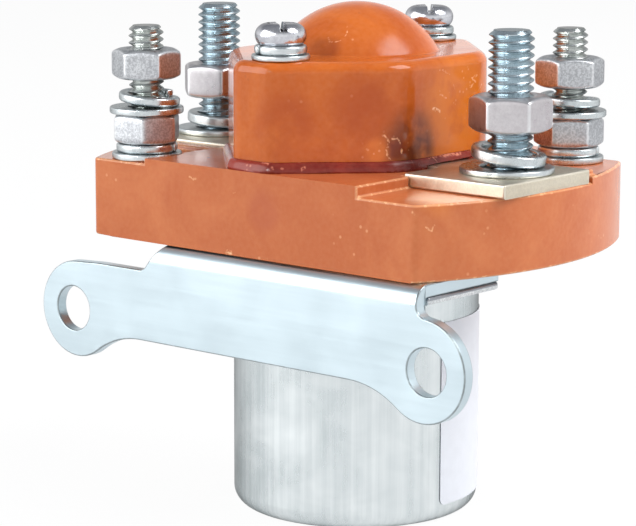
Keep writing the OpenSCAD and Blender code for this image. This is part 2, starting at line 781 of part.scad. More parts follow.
// A bead with a round section, laid round the cover's foot and over the tongues
module sealant_bead() color("#a02f24") difference() {
  section = concat([[0, 0]], [for (a = [0:15:90]) [cos(a), sin(a)]]);
  outlines = [for (s = section) at_height(cover_plan(s[0] * bead_w), land_z + s[1] * bead_h)];
  loop_skin([for (i = [0:len(outlines[0]) - 1]) [for (o = outlines) o[i]]]);
  tongue_cuts();
}

module cover() color("#d2702b")
  difference() {
    union() {
      skin(concat([at_height(cover_plan(0), land_z)],
        [for (a = [0:18:90]) at_height(cover_plan(cover_edge_r * (cos(a) - 1)),
          roof_z - cover_edge_r + cover_edge_r * sin(a))]));
      intersection() {
        translate([0, 0, dome_z]) sphere(dome_r, $fn = 96);
        translate([-dome_r, -dome_r, roof_z - roof_t])
          cube([2 * dome_r, 2 * dome_r, dome_h + roof_t + over]);
      }
    }
    translate([0, 0, land_z - over]) linear_extrude(cover_h - roof_t + over) intersection() {
      polygon(cover_plan(-cover_wall));
      square([cover_w, chamber_len], center = true);
    }
    translate([0, 0, dome_z]) sphere(dome_r - cover_wall, $fn = 96);
    for (p = screw_places) translate([p[0], p[1], land_z - over])
      cylinder(d = cover_screw_d + 4 * ease, h = cover_h + 2 * over);
    tongue_cuts();
  }

module terminal_plate(turn) rotate(turn)
  difference() {
    translate([0, 0, floor_z]) linear_extrude(plate_t) plate_outline(0);
    translate([main_x, -main_y, floor_z - over]) cylinder(d = main_d + ease, h = plate_t + 2 * over);
  }

module terminal_plate_right() color("#e6dcc2") terminal_plate(0);
module terminal_plate_left() color("#e6dcc2") terminal_plate(180);

module contact_button(z) {
  for (x = [-1, 1]) translate([x * contact_x, 0, z]) cylinder(d = contact_d, h = contact_t);
}

module fixed_contacts() color("#dfe1e0") contact_button(plate_z);
module moving_contacts() color("#dfe1e0") contact_button(moving_low);

module contact_bridge() color("#c07a45") translate([0, 0, bridge_z])
  difference() {
    intersection() {
      translate([-bridge_len / 2, -bridge_w / 2, 0]) cube([bridge_len, bridge_w, bridge_t]);
      cylinder(d = bridge_len, h = bridge_t, $fn = 96);
    }
    translate([0, 0, -over]) cylinder(d = rod_d + 2 * slide, h = bridge_t + 2 * over);
  }

module contact_spring() color("#b9bdc0")
  coil_spring(contact_spring_d, contact_wire, bridge_top, seat_z, 4.5);

module spring_seat() color("#c3c7ca") translate([0, 0, seat_z])
  ring(seat_d, rod_d + 2 * slide, seat_t);

module rod_clips() color("#5f6366")
  for (z = [bridge_z - clip_t - rest_gap, seat_z + seat_t]) translate([0, 0, z]) difference() {
    ring(clip_d, rod_d - 1.2 + 2 * snug, clip_t);
    translate([0, -rod_d * 0.3, -over]) cube([clip_d, rod_d * 0.6, clip_t + 2 * over]);
  }

module main_stud(nut_rise) stud(main_d, main_pitch_d, main_af, main_head_h, base_z + head_sink,
  land_z + main_rise, [[land_z + nut_rise, main_nut_h]]);

module main_stud_right() color("#c2cdd2")
  at_pair([main_right]) rotate(30) main_stud(right_nut_rise);
module main_stud_left() color("#c2cdd2")
  at_pair([main_left]) rotate(30) main_stud(left_nut_rise);

module main_flat_washers() color("#ccd3d6")
  at_pair([main_right + right_washer_shift, main_left]) translate([0, 0, plate_z])
    ring(main_washer_d, main_d + 1.2, main_washer_t);

module main_spring_washers() color("#d3d9dc") {
  bore = main_spring_d - 2 * main_spring_wire;
  z = plate_z + main_washer_t;
  at_pair([main_right + right_spring_shift]) translate([0, 0, z])
    leaning_washer(bore, main_spring_d, main_spring_t, rise = 0.5, turn = 100, lean = 7, toward = 195);
  at_pair([main_left + left_spring_shift]) translate([0, 0, z])
    leaning_washer(bore, main_spring_d, main_spring_t, rise = 0.8, turn = 120, lean = 3, toward = 200);
}

module main_nuts() color("#d7dcde") {
  at_pair([main_right]) translate([0, 0, land_z + right_nut_rise])
    hex_nut(main_af, main_nut_h, main_pitch_d + 2 * snug, main_nut_turns[0]);
  at_pair([main_left]) translate([0, 0, land_z + left_nut_rise])
    hex_nut(main_af, main_nut_h, main_pitch_d + 2 * snug, main_nut_turns[1]);
}

coil_spring_bore = coil_spring_d - 2 * coil_spring_wire;
lower_nut_z = pad_z + coil_washer_t + coil_spring_t + 2 * snug;
upper_washer_z = lower_nut_z + coil_nut_h;

module coil_stud(upper_rise) stud(coil_d, coil_pitch_d, coil_af, coil_head_h, base_z + head_sink,
  land_z + coil_rise, [[lower_nut_z, coil_nut_h], [land_z + upper_rise, coil_nut_h]]);

module coil_stud_front() color("#cfd4d2")
  at_pair([coil_front]) rotate(lead_turn + 30) coil_stud(upper_front_rise);
module coil_stud_back() color("#cfd4d2")
  at_pair([coil_back]) rotate(lead_turn + 30) coil_stud(upper_back_rise);

module lower_flat_washers() color("#ccd3d6")
  at_pair([coil_front, coil_back]) translate([0, 0, pad_z])
    ring(coil_washer_d, coil_d + 4 * ease, coil_washer_t);

// Pressed flat under the lower nuts
module lower_spring_washers() color("#d3d9dc")
  at_pair([coil_front, coil_back]) translate([0, 0, pad_z + coil_washer_t + snug])
    split_washer(coil_spring_bore, coil_spring_d, coil_spring_t, 0, 20);

module lower_nuts() color("#d7dcde") {
  at_pair([coil_front]) translate([0, 0, lower_nut_z])
    hex_nut(coil_af, coil_nut_h, coil_pitch_d + 2 * snug, lower_nut_turns[0]);
  at_pair([coil_back]) translate([0, 0, lower_nut_z])
    hex_nut(coil_af, coil_nut_h, coil_pitch_d + 2 * snug, lower_nut_turns[1]);
}

module upper_flat_washers() color("#ccd3d6")
  at_pair([coil_front, coil_back]) translate([0, 0, upper_washer_z])
    ring(upper_washer_d, coil_d + 4 * ease, coil_washer_t);

module upper_spring_washers() color("#d3d9dc") {
  z = upper_washer_z + coil_washer_t;
  at_pair([coil_front + front_spring_shift]) translate([0, 0, z])
    leaning_washer(coil_spring_bore, coil_spring_d, coil_spring_t,
      rise = 0.9, turn = 75, lean = 4, toward = 200);
  at_pair([coil_back]) translate([0, 0, z])
    leaning_washer(coil_spring_bore, coil_spring_d, coil_spring_t,
      rise = 1.3, turn = 160, lean = 0, toward = 0);
}

module upper_nuts() color("#d7dcde") {
  at_pair([coil_front]) translate([0, 0, land_z + upper_front_rise])
    hex_nut(coil_af, coil_nut_h, coil_pitch_d + 2 * snug, upper_nut_turns[0]);
  at_pair([coil_back]) translate([0, 0, land_z + upper_back_rise])
    hex_nut(coil_af, coil_nut_h, coil_pitch_d + 2 * snug, upper_nut_turns[1]);
}

head_z = roof_z + small_washer_t + small_spring_t + 2 * snug;

// Pan heads with a cross recess and a slot right across
module cover_screws() color("#cdd2d4")
  for (i = [0, 1]) translate([screw_places[i][0], screw_places[i][1], head_z]) {
    shoulder_r = 2.1;
    mid = head_d / 2 - shoulder_r;
    difference() {
      rotate_extrude() {
        square([mid, head_h]);
        intersection() {
          translate([mid, head_h - shoulder_r]) circle(shoulder_r);
          translate([mid, 0]) square([shoulder_r, head_h]);
        }
      }
      rotate(slot_turns[i]) {
        for (b = [0, 90]) rotate(b) translate([-2.3, -0.5, head_h - 2]) cube([4.6, 1, 2 + over]);
        translate([-head_d, -0.6, head_h - 1.3]) cube([2 * head_d, 1.2, 1.3 + over]);
      }
    }
    translate([0, 0, -cover_screw_len]) cylinder(d = cover_screw_d, h = cover_screw_len);
  }

module cover_spring_washers() color("#d3d9dc")
  at_pair(screw_places) translate([0, 0, roof_z + small_washer_t + snug])
    split_washer(cover_screw_d + 2 * ease, small_spring_d, small_spring_t, 0, 250);

module cover_flat_washers() color("#ccd3d6")
  at_pair(screw_places) translate([0, 0, roof_z])
    ring(small_washer_d, cover_screw_d + 2 * ease, small_washer_t);

can();
flux_plate();
can_label();
pole_piece();
coil_bobbin();
coil_winding();
coil_leads();
plunger();
plunger_rod();
guide_bush();
stop_washer();
return_spring();
mounting_bracket();
bracket_screws();
base();
screw_inserts();
sealant_bead();
cover();
terminal_plate_right();
terminal_plate_left();
fixed_contacts();
contact_bridge();
moving_contacts();
contact_spring();
spring_seat();
rod_clips();
main_stud_right();
main_stud_left();
main_flat_washers();
main_spring_washers();
main_nuts();
coil_stud_front();
coil_stud_back();
lower_flat_washers();
lower_spring_washers();
lower_nuts();
upper_flat_washers();
upper_spring_washers();
upper_nuts();
cover_screws();
cover_spring_washers();
cover_flat_washers();
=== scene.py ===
"""How the dc contactor looks: cut threads, rounded edges, platings and moulded resin on the CAD solids.

Lengths are in metres. A value named or described as millimetres is multiplied by MM where it is used.
"""

import json
import math

import bmesh
import bpy
from mathutils import Matrix, Vector, noise
from mathutils.bvhtree import BVHTree

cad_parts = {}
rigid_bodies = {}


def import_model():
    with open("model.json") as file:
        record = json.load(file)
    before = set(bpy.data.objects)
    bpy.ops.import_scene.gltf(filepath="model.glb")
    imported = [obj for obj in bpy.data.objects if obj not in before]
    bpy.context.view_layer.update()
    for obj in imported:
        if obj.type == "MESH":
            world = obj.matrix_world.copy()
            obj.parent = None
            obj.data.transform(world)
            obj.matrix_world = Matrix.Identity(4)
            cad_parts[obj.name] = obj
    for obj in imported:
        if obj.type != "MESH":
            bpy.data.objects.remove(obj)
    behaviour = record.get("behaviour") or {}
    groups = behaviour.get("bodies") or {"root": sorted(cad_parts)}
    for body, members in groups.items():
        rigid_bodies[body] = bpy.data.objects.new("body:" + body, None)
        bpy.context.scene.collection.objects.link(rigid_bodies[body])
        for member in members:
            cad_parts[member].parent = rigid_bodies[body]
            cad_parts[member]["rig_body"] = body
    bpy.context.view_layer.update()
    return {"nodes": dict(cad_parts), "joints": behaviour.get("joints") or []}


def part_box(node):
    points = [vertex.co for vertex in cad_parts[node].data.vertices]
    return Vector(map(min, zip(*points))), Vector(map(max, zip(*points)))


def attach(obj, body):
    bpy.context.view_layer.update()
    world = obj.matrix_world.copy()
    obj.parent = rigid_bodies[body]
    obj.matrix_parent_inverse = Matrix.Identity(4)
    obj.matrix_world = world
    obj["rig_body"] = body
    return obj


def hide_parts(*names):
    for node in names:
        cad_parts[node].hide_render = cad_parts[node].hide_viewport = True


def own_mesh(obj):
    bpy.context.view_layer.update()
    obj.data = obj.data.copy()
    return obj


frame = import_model()

MM = 0.001
NODES = frame["nodes"]
FLOAT, VECTOR, COLOR, WHOLE = "NodeSocketFloat", "NodeSocketVector", "NodeSocketColor", "NodeSocketInt"
GEOMETRY, MATERIAL = "NodeSocketGeometry", "NodeSocketMaterial"


# Node trees


class Tree:
    """A node tree filled by short calls: a socket given as an input is linked, a plain value is set."""

    def __init__(self, tree):
        self.tree = tree

    def node(self, kind, inputs=None, **settings):
        """A new node. Its inputs are given by name or number, its settings by name."""
        made = self.tree.nodes.new(kind)
        for name, value in settings.items():
            setattr(made, name, value)
        for key, value in (inputs or {}).items():
            self.put(value, made.inputs[key])
        return made

    def put(self, value, socket):
        if isinstance(value, bpy.types.NodeSocket):
            self.tree.links.new(value, socket)
        else:
            socket.default_value = value

    def math(self, operation, *values, clamp=False):
        made = self.node("ShaderNodeMath", dict(enumerate(values)), operation=operation, use_clamp=clamp)
        return made.outputs[0]

    def vector(self, operation, *values):
        made = self.node("ShaderNodeVectorMath", dict(enumerate(values)), operation=operation)
        return made.outputs["Value" if operation in ("DOT_PRODUCT", "LENGTH", "DISTANCE") else "Vector"]

    def span(self, value, low, high, to_low=0.0, to_high=1.0, smooth=False):
        """A value's range mapped to another, clamped."""
        made = self.node("ShaderNodeMapRange", {0: value, 1: low, 2: high, 3: to_low, 4: to_high},
                         interpolation_type="SMOOTHSTEP" if smooth else "LINEAR")
        return made.outputs[0]

    def mix(self, factor, low, high):
        """Two colours mixed."""
        made = self.node("ShaderNodeMix", data_type="RGBA")
        for value, index in ((factor, 0), (low, 6), (high, 7)):
            self.put(value, made.inputs[index])
        return made.outputs[2]

    def noise(self, place, scale, detail=2.0, roughness=0.5, distortion=0.0):
        made = self.node("ShaderNodeTexNoise", {"Vector": place, "Scale": scale, "Detail": detail,
                                                "Roughness": roughness, "Distortion": distortion})
        return made.outputs[0]

    def split(self, vector):
        return self.node("ShaderNodeSeparateXYZ", {0: vector}).outputs

    def join(self, x, y, z):
        return self.node("ShaderNodeCombineXYZ", {0: x, 1: y, 2: z}).outputs[0]

    def above(self, place, height, foot):
        """0 below a height given in millimetres, rising to 1 over its foot."""
        return self.span(self.split(place)["Z"], height * MM, (height + foot) * MM)

    def near(self, place, spot, reach):
        """1 at a spot given in millimetres, falling to 0 at its reach."""
        away = self.vector("DISTANCE", place, tuple(c * MM for c in spot))
        return self.span(away, 0.4 * reach * MM, reach * MM, 1.0, 0.0, smooth=True)


def group(name, kind, inputs, outputs):
    """An empty node group with named sockets, as a Tree with its inputs and outputs."""
    tree = bpy.data.node_groups.new(name, kind)
    for label, (socket_type, start) in inputs.items():
        socket = tree.interface.new_socket(label, in_out="INPUT", socket_type=socket_type)
        if start is not None:
            socket.default_value = start
    for label, socket_type in outputs.items():
        tree.interface.new_socket(label, in_out="OUTPUT", socket_type=socket_type)
    made = Tree(tree)
    made.given = tree.nodes.new("NodeGroupInput").outputs
    made.result = tree.nodes.new("NodeGroupOutput").inputs
    return made


def srgb(r, g, b):
    """A colour as the eye picks it from a picture, 0 to 255, made linear."""
    def linear(c):
        c /= 255
        return c / 12.92 if c <= 0.04045 else ((c + 0.055) / 1.055) ** 2.4
    return (linear(r), linear(g), linear(b), 1.0)


# Shared effects


def moulding_group():
    """Moulded resin: cloudy flow of two tints, fine grain, and pale and dark specks."""
    t = group("moulded resin", "ShaderNodeTree",
              {"Place": (VECTOR, None), "Tint": (COLOR, (1, 0.5, 0.2, 1)), "Deep": (COLOR, (1, 0.4, 0.1, 1)),
               "Pale": (COLOR, (1, 0.8, 0.6, 1)), "Dark": (COLOR, (0.2, 0.1, 0.05, 1)),
               "Specks": (FLOAT, 0.5)},
              {"Color": COLOR, "Height": FLOAT})
    place = t.given["Place"]
    flow = t.noise(place, 60, detail=4, roughness=0.6, distortion=1.0)
    color = t.mix(t.span(flow, 0.38, 0.64), t.given["Deep"], t.given["Tint"])
    fine = t.noise(place, 1100, detail=2)
    color = t.mix(t.span(fine, 0.3, 0.8, 0.0, 0.07), color, t.given["Pale"])
    for shift, scale, patch, tone in ((0.0, 420.0, 85, "Pale"), (0.037, 360.0, 70, "Dark")):
        moved = t.vector("ADD", place, (shift, shift, shift))
        dots = t.node("ShaderNodeTexVoronoi", {"Vector": moved, "Scale": scale}).outputs[0]
        rare = t.span(t.noise(moved, patch, detail=1), 0.60, 0.66)
        speck = t.math("MULTIPLY", t.span(dots, 0.08, 0.15, 1.0, 0.0), rare)
        color = t.mix(t.math("MULTIPLY", speck, t.given["Specks"]), color, t.given[tone])
    t.put(color, t.result["Color"])
    t.put(t.noise(place, 140, detail=2), t.result["Height"])
    return t.tree


def scuff_group():
    """Thin winding hairlines and small dots, two masks for other masks to limit."""
    t = group("scuffs", "ShaderNodeTree", {"Place": (VECTOR, None)}, {"Lines": FLOAT, "Dots": FLOAT})
    place = t.given["Place"]
    wave = t.math("ABSOLUTE", t.math("SUBTRACT", t.noise(place, 130, detail=1.5), 0.5))
    broken = t.span(t.noise(place, 520, detail=1), 0.40, 0.55)
    t.put(t.math("MULTIPLY", t.span(wave, 0.004, 0.012, 1.0, 0.0), broken), t.result["Lines"])
    dots = t.node("ShaderNodeTexVoronoi", {"Vector": place, "Scale": 900.0}).outputs[0]
    some = t.span(t.noise(place, 420, detail=0), 0.50, 0.60)
    t.put(t.math("MULTIPLY", t.span(dots, 0.14, 0.24, 1.0, 0.0), some), t.result["Dots"])
    return t.tree


def plating_group():
    """Zinc or tin plating: soft clouds of tint, brushed grain along one way, and a fine crystal spangle."""
    t = group("plating", "ShaderNodeTree",
              {"Place": (VECTOR, None), "Grain": (VECTOR, (1, 1, 1)), "Tint": (COLOR, (0.8, 0.8, 0.8, 1)),
               "Stain": (COLOR, (0.6, 0.6, 0.6, 1)), "Smooth": (FLOAT, 0.25), "Dull": (FLOAT, 0.4),
               "Spangle": (FLOAT, 0.0)},
              {"Color": COLOR, "Roughness": FLOAT, "Height": FLOAT})
    place = t.given["Place"]
    cloud = t.noise(place, 90, detail=3, roughness=0.55, distortion=0.4)
    grain = t.noise(t.vector("MULTIPLY", place, t.given["Grain"]), 900, detail=3, roughness=0.6)
    both = t.math("ADD", t.math("MULTIPLY", cloud, 0.6), t.math("MULTIPLY", grain, 0.4))
    color = t.mix(t.span(both, 0.35, 0.65), t.given["Stain"], t.given["Tint"])
    crystal = t.noise(place, 2600, detail=3, roughness=0.75)
    deep = t.mix(0.6, t.given["Stain"], (0.07, 0.08, 0.09, 1))
    flecks = t.math("MULTIPLY", t.span(crystal, 0.54, 0.46), t.given["Spangle"])
    t.put(t.mix(flecks, color, deep), t.result["Color"])
    spread = t.math("SUBTRACT", t.given["Dull"], t.given["Smooth"])
    rough = t.math("MULTIPLY_ADD", t.span(both, 0.3, 0.7), spread, t.given["Smooth"])
    t.put(rough, t.result["Roughness"])
    grit = t.math("MULTIPLY", t.given["Spangle"], 2.0)
    t.put(t.math("MULTIPLY_ADD", crystal, grit, grain), t.result["Height"])
    return t.tree


def scratch_group():
    """A short, broken, slightly wavy scratch between two points, as a mask."""
    t = group("scratch", "ShaderNodeTree",
              {"Place": (VECTOR, None), "From": (VECTOR, None), "To": (VECTOR, None),
               "Width": (FLOAT, 0.2 * MM)},
              {"Mask": FLOAT})
    place = t.given["Place"]
    sway = t.node("ShaderNodeTexNoise", {"Vector": place, "Scale": 700.0, "Detail": 1.0}).outputs[1]
    sway = t.vector("MULTIPLY", t.vector("SUBTRACT", sway, (0.5, 0.5, 0.5)), (MM, MM, MM))
    reach = t.vector("SUBTRACT", t.vector("ADD", place, sway), t.given["From"])
    way = t.vector("SUBTRACT", t.given["To"], t.given["From"])
    along = t.vector("DOT_PRODUCT", reach, way)
    share = t.math("DIVIDE", along, t.vector("DOT_PRODUCT", way, way), clamp=True)
    away = t.vector("LENGTH", t.vector("SUBTRACT", reach, t.vector("MULTIPLY", way, share)))
    near = t.math("SUBTRACT", 1.0, t.math("DIVIDE", away, t.given["Width"]), clamp=True)
    broken = t.span(t.noise(place, 1900, detail=2), 0.38, 0.56)
    t.put(t.math("MULTIPLY", t.span(near, 0.0, 0.6), broken), t.result["Mask"])
    return t.tree


MOULDING, SCUFFS, PLATING, SCRATCH = moulding_group(), scuff_group(), plating_group(), scratch_group()


# Materials

# Grey painted on the flux plate's edge as the shadow under the bracket's leg
PAINTED_SHADOW_GREY = srgb(158, 162, 168)
# The heights over which the gloss softens and the painted shadow begins, in millimetres
SOFT_FOOT, SHADOW_FOOT = 2.0, 0.15


def material(name, **shader):
    """A new material as a Tree, with its object coordinates and its shader's inputs at hand."""
    made = bpy.data.materials.new(name)
    made.use_nodes = True
    made.node_tree.nodes.clear()
    t = Tree(made.node_tree)
    t.material = made
    t.place = t.node("ShaderNodeTexCoord").outputs["Object"]
    t.shader = t.node("ShaderNodeBsdfPrincipled", {k.replace("_", " "): v for k, v in shader.items()})
    t.node("ShaderNodeOutputMaterial", {"Surface": t.shader.outputs[0]})
    return t


def effect(t, tree, **inputs):
    """One shared effect placed in a material."""
    made = t.node("ShaderNodeGroup", {}, node_tree=tree)
    for label, value in {"Place": t.place, **inputs}.items():
        t.put(value, made.inputs[label])
    return made.outputs


def bump(t, height, distance):
    """Fine relief of a depth in millimetres."""
    made = t.node("ShaderNodeBump", {"Height": height, "Distance": distance * MM, "Strength": 1.0})
    t.put(made.outputs[0], t.shader.inputs["Normal"])


def rim_of(t):
    """How far a point belongs to a rounded edge, as the mesh's own attribute says."""
    return t.node("ShaderNodeAttribute", attribute_name="rim").outputs["Fac"]


def resin(name, tint, deep, pale, dark, specks, gloss, dull, marks=(), stains_and_painted_light=(), scratches=(), rim=0.0,
          softer_above=None):
    """Moulded resin. Places, sizes and heights are in millimetres.

    A mark is a kind of scuff, its place, its reach and its strength. A stain, or a patch of painted shade
    or painted light, is its place, its reach, its colour and its strength. A scratch is its two ends, its
    width and its strength. The rim gives the rounded edges a pale painted highlight and pale chips of
    wear. The gloss is softer above the given height.
    """
    t = material(name, IOR=1.5, Specular_IOR_Level=0.42)
    made = effect(t, MOULDING, Tint=tint, Deep=deep, Pale=pale, Dark=dark, Specks=specks)
    color = made["Color"]
    cloud = t.noise(t.place, 120, detail=3)
    ragged = t.span(t.noise(t.place, 260, detail=3), 0.22, 0.50)
    # Stains, and patches of painted shade and painted light, mixed in by their colours
    for spot, reach, tone, amount in stains_and_painted_light:
        mask = t.math("MULTIPLY", t.near(t.place, spot, reach), ragged)
        color = t.mix(t.math("MULTIPLY", mask, amount), color, tone)
    scuffs = effect(t, SCUFFS)
    for kind, spot, reach, amount in marks:
        mask = t.math("MULTIPLY", scuffs[kind], t.near(t.place, spot, reach))
        color = t.mix(t.math("MULTIPLY", mask, amount), color, pale)
    for start, end, width, amount in scratches:
        ends = {"From": tuple(c * MM for c in start), "To": tuple(c * MM for c in end)}
        mask = effect(t, SCRATCH, Width=width * MM, **ends)["Mask"]
        color = t.mix(t.math("MULTIPLY", mask, amount), color, pale)
    if rim:
        # A pale painted highlight along the rounded edges, then pale chips of wear on them
        edge = rim_of(t)
        color = t.mix(t.math("MULTIPLY", edge, 0.45 * rim), color, pale)
        chips = t.math("MULTIPLY", edge, t.span(t.noise(t.place, 1100, detail=3), 0.56, 0.62))
        color = t.mix(t.math("MULTIPLY", chips, rim), color, pale)
    t.put(color, t.shader.inputs["Base Color"])
    rough = t.span(cloud, 0.3, 0.7, gloss, dull)
    if softer_above:
        softer = t.above(t.place, softer_above, SOFT_FOOT)
        rough = t.math("ADD", rough, t.math("MULTIPLY", softer, 0.12))
    t.put(rough, t.shader.inputs["Roughness"])
    bump(t, made["Height"], 0.06)
    return t.material


def plated(name, tint, stain, grain=(1, 1, 1), smooth=0.22, dull=0.38, depth=0.01, spangle=0.0, rim=None,
           edge=0.32, painted_shadow_above=None):
    """Plated metal. Its clouds run from the stain, where it is smooth, to the tint, where it is dull.

    The rim is painted light on the rounded edges: a colour, with its strength as the fourth value; pale
    for a painted highlight, dark for a painted reflection of dark surroundings. Edge is how much light the
    metal throws back at a grazing angle. Above a height in millimetres the colour turns to a painted
    shadow grey, the shadow under another plate.
    """
    t = material(name, Metallic=1.0, Specular_Tint=(edge, edge, edge, 1))
    plate = effect(t, PLATING, Grain=grain, Tint=tint, Stain=stain, Smooth=smooth, Dull=dull, Spangle=spangle)
    color = plate["Color"]
    if rim:
        # Painted light on the rounded edges, patchy along them
        patchy = t.span(t.noise(t.place, 500, detail=2), 0.30, 0.60, 0.6, 1.0)
        painted_edge_light = t.math("MULTIPLY", rim_of(t), patchy)
        color = t.mix(t.math("MULTIPLY", painted_edge_light, rim[3]), color, rim[:3] + (1,))
    if painted_shadow_above:
        # Painted shadow: grey above the height
        color = t.mix(t.above(t.place, painted_shadow_above, SHADOW_FOOT), color, PAINTED_SHADOW_GREY)
    t.put(color, t.shader.inputs["Base Color"])
    t.put(plate["Roughness"], t.shader.inputs["Roughness"])
    bump(t, plate["Height"], depth)
    return t.material


def plain(name, color, roughness=0.45, metallic=0.0, patchy=0.85, rim=None):
    """A clouded finish in one colour. The rim is the colour of the edges."""
    t = material(name, Roughness=roughness, Metallic=metallic)
    soft = t.span(t.noise(t.place, 400, detail=3), 0.3, 0.7)
    color = t.mix(soft, tuple(patchy * c for c in color[:3]) + (1,), color)
    if rim:
        color = t.mix(rim_of(t), color, rim)
    t.put(color, t.shader.inputs["Base Color"])
    return t.material


def faded(color, amount):
    """A colour with a strength in place of its opacity."""
    return color[:3] + (amount,)


# Marks, stains, patches of painted shade and painted light, and scratches of the resin, written as resin()
# takes them

# The cover's flat side towards the right and the base's flat front
COVER_SIDE, BASE_FRONT = 20.4, -30.0

COVER_MARKS = (
    ("Dots", (5.4, -10.8, 87.0), 3.4, 0.5),
    ("Dots", (18.5, -14.3, 67.0), 6.0, 0.4),
    ("Dots", (COVER_SIDE, 3.0, 77.0), 8.0, 0.35),
)
# Stains of the cover, with patches of painted light and painted shade among them
COVER_STAINS_AND_PAINTED_LIGHT = (
    # Painted light: the right side made brighter and yellower, as the lamps on the right light it
    ((COVER_SIDE, 4.0, 74.0), 14.0, srgb(226, 124, 34), 0.7),
    # Painted shade: the dark patch at the right corner, by the right main stud and its nut
    ((COVER_SIDE, -9.6, 69.6), 7.5, srgb(100, 42, 20), 0.7),
    ((COVER_SIDE, -7.4, 67.6), 5.0, srgb(84, 36, 24), 0.6),
    ((19.3, -12.8, 68.6), 2.6, srgb(120, 46, 22), 0.8),
    ((17.2, -15.6, 68.3), 3.0, srgb(230, 128, 52), 0.6),
    # Painted shade: the dark patch on the dome beside the front cover screw
    ((3.7, -13.3, 84.9), 3.6, srgb(146, 62, 32), 0.5),
    ((6.0, -26.5, 73.0), 7.0, srgb(172, 68, 20), 0.5),
    ((16.0, -17.8, 76.0), 7.0, srgb(172, 72, 24), 0.5),
)
COVER_SCRATCHES = (
    ((5.0, -8.8, 88.8), (5.7, -9.9, 87.7), 0.16, 0.7),
    ((5.7, -9.9, 87.7), (5.8, -11.0, 86.7), 0.14, 0.7),
    ((5.6, -11.4, 86.4), (5.0, -12.0, 86.1), 0.14, 0.6),
    ((4.5, -12.2, 86.1), (4.0, -12.7, 85.7), 0.14, 0.6),
    ((COVER_SIDE, -2.3, 77.1), (COVER_SIDE, -0.2, 76.4), 0.22, 0.7),
    ((COVER_SIDE, -3.9, 74.8), (COVER_SIDE, -1.9, 74.2), 0.34, 1.0),
    ((COVER_SIDE, 6.7, 77.7), (COVER_SIDE, 8.1, 78.5), 0.26, 0.8),
    ((COVER_SIDE, 8.1, 78.5), (COVER_SIDE, 7.2, 79.3), 0.22, 0.8),
    ((COVER_SIDE, 7.2, 79.3), (COVER_SIDE, 8.7, 79.7), 0.22, 0.7),
    ((COVER_SIDE, -2.1, 81.6), (COVER_SIDE, 0.8, 80.5), 0.18, 0.6),
    ((COVER_SIDE, 1.7, 78.7), (COVER_SIDE, 2.3, 76.9), 0.14, 0.5),
    ((20.3, 9.1, 77.0), (20.1, 10.6, 77.9), 0.20, 0.6),
    ((18.1, -14.6, 71.1), (18.5, -14.1, 70.0), 0.26, 0.8),
    ((18.5, -14.1, 70.0), (18.4, -14.2, 68.5), 0.22, 0.8),
    ((18.4, -14.2, 68.5), (18.7, -13.9, 66.7), 0.20, 0.7),
    ((18.8, -13.6, 70.3), (19.4, -12.6, 70.5), 0.22, 0.7),
    ((19.4, -12.6, 70.5), (19.7, -11.9, 69.0), 0.24, 0.8),
    ((19.7, -11.9, 69.0), (19.8, -11.7, 67.8), 0.24, 0.8),
)
BASE_STAINS = (
    ((4.0, BASE_FRONT, 58.0), 5.0, srgb(184, 92, 60), 0.5),
    ((37.0, -25.0, 63.5), 5.0, srgb(226, 130, 56), 0.5),
)
BASE_SCRATCHES = (
    ((37.6, -27.4, 62.6), (38.2, -26.4, 62.6), 0.4, 0.8),
    ((38.2, -28.1, 58.8), (38.7, -27.3, 58.2), 0.22, 0.6),
    ((38.7, -27.3, 58.2), (38.9, -26.8, 58.9), 0.22, 0.6),
    ((-13.4, BASE_FRONT, 62.3), (-12.2, BASE_FRONT, 62.2), 0.34, 0.7),
    ((36.8, -29.9, 61.3), (37.0, -29.8, 61.1), 0.3, 0.8),
    ((-4.6, BASE_FRONT, 49.9), (-3.6, BASE_FRONT, 49.8), 0.45, 0.9),
    ((-3.0, BASE_FRONT, 60.6), (-2.6, BASE_FRONT, 60.7), 0.22, 0.7),
)
BEAD_MARKS = (
    ("Dots", (20.5, -2.0, 66.2), 10.0, 0.8),
    ("Lines", (20.5, -2.0, 66.2), 10.0, 0.6),
    ("Dots", (4.0, -29.0, 65.4), 12.0, 0.5),
    ("Dots", (9.0, -25.0, 66.0), 3.0, 0.9),
)
BEAD_PAINTED_SHADE = (
    # Painted shade: the bead under the cover's shaded right corner
    ((20.5, -8.0, 66.0), 7.0, srgb(84, 26, 24), 0.8),
    # Painted shade: the bead's left end darkened against the light that falls on it
    ((-4.0, -29.0, 66.0), 9.0, srgb(170, 54, 36), 0.5),
)
BEAD_CHIPS = (
    ((20.7, -2.2, 66.4), (21.0, 3.2, 66.4), 0.5, 0.9),
    ((20.7, -6.0, 66.2), (20.8, -3.5, 66.3), 0.3, 0.6),
    ((9.1, -25.0, 65.6), (8.6, -25.4, 65.2), 0.35, 1.0),
    ((7.9, -24.9, 66.7), (7.6, -25.2, 66.4), 0.3, 0.9),
    ((4.1, -29.0, 66.3), (3.4, -29.0, 66.3), 0.3, 0.7),
    ((-8.0, -29.1, 65.0), (-3.0, -29.1, 65.0), 0.3, 0.7),
)


# Finishes

# A height a little under the dome's foot, and the middle of the flux plate's edge, where its painted shadow
# begins, in millimetres
SOFT_LINE, SHADOW_LINE = 83.2, 46.5
ORANGE_DARK = srgb(120, 50, 22)
# The pale of the painted highlights on the nuts' rims
BRIGHT = srgb(250, 252, 254)

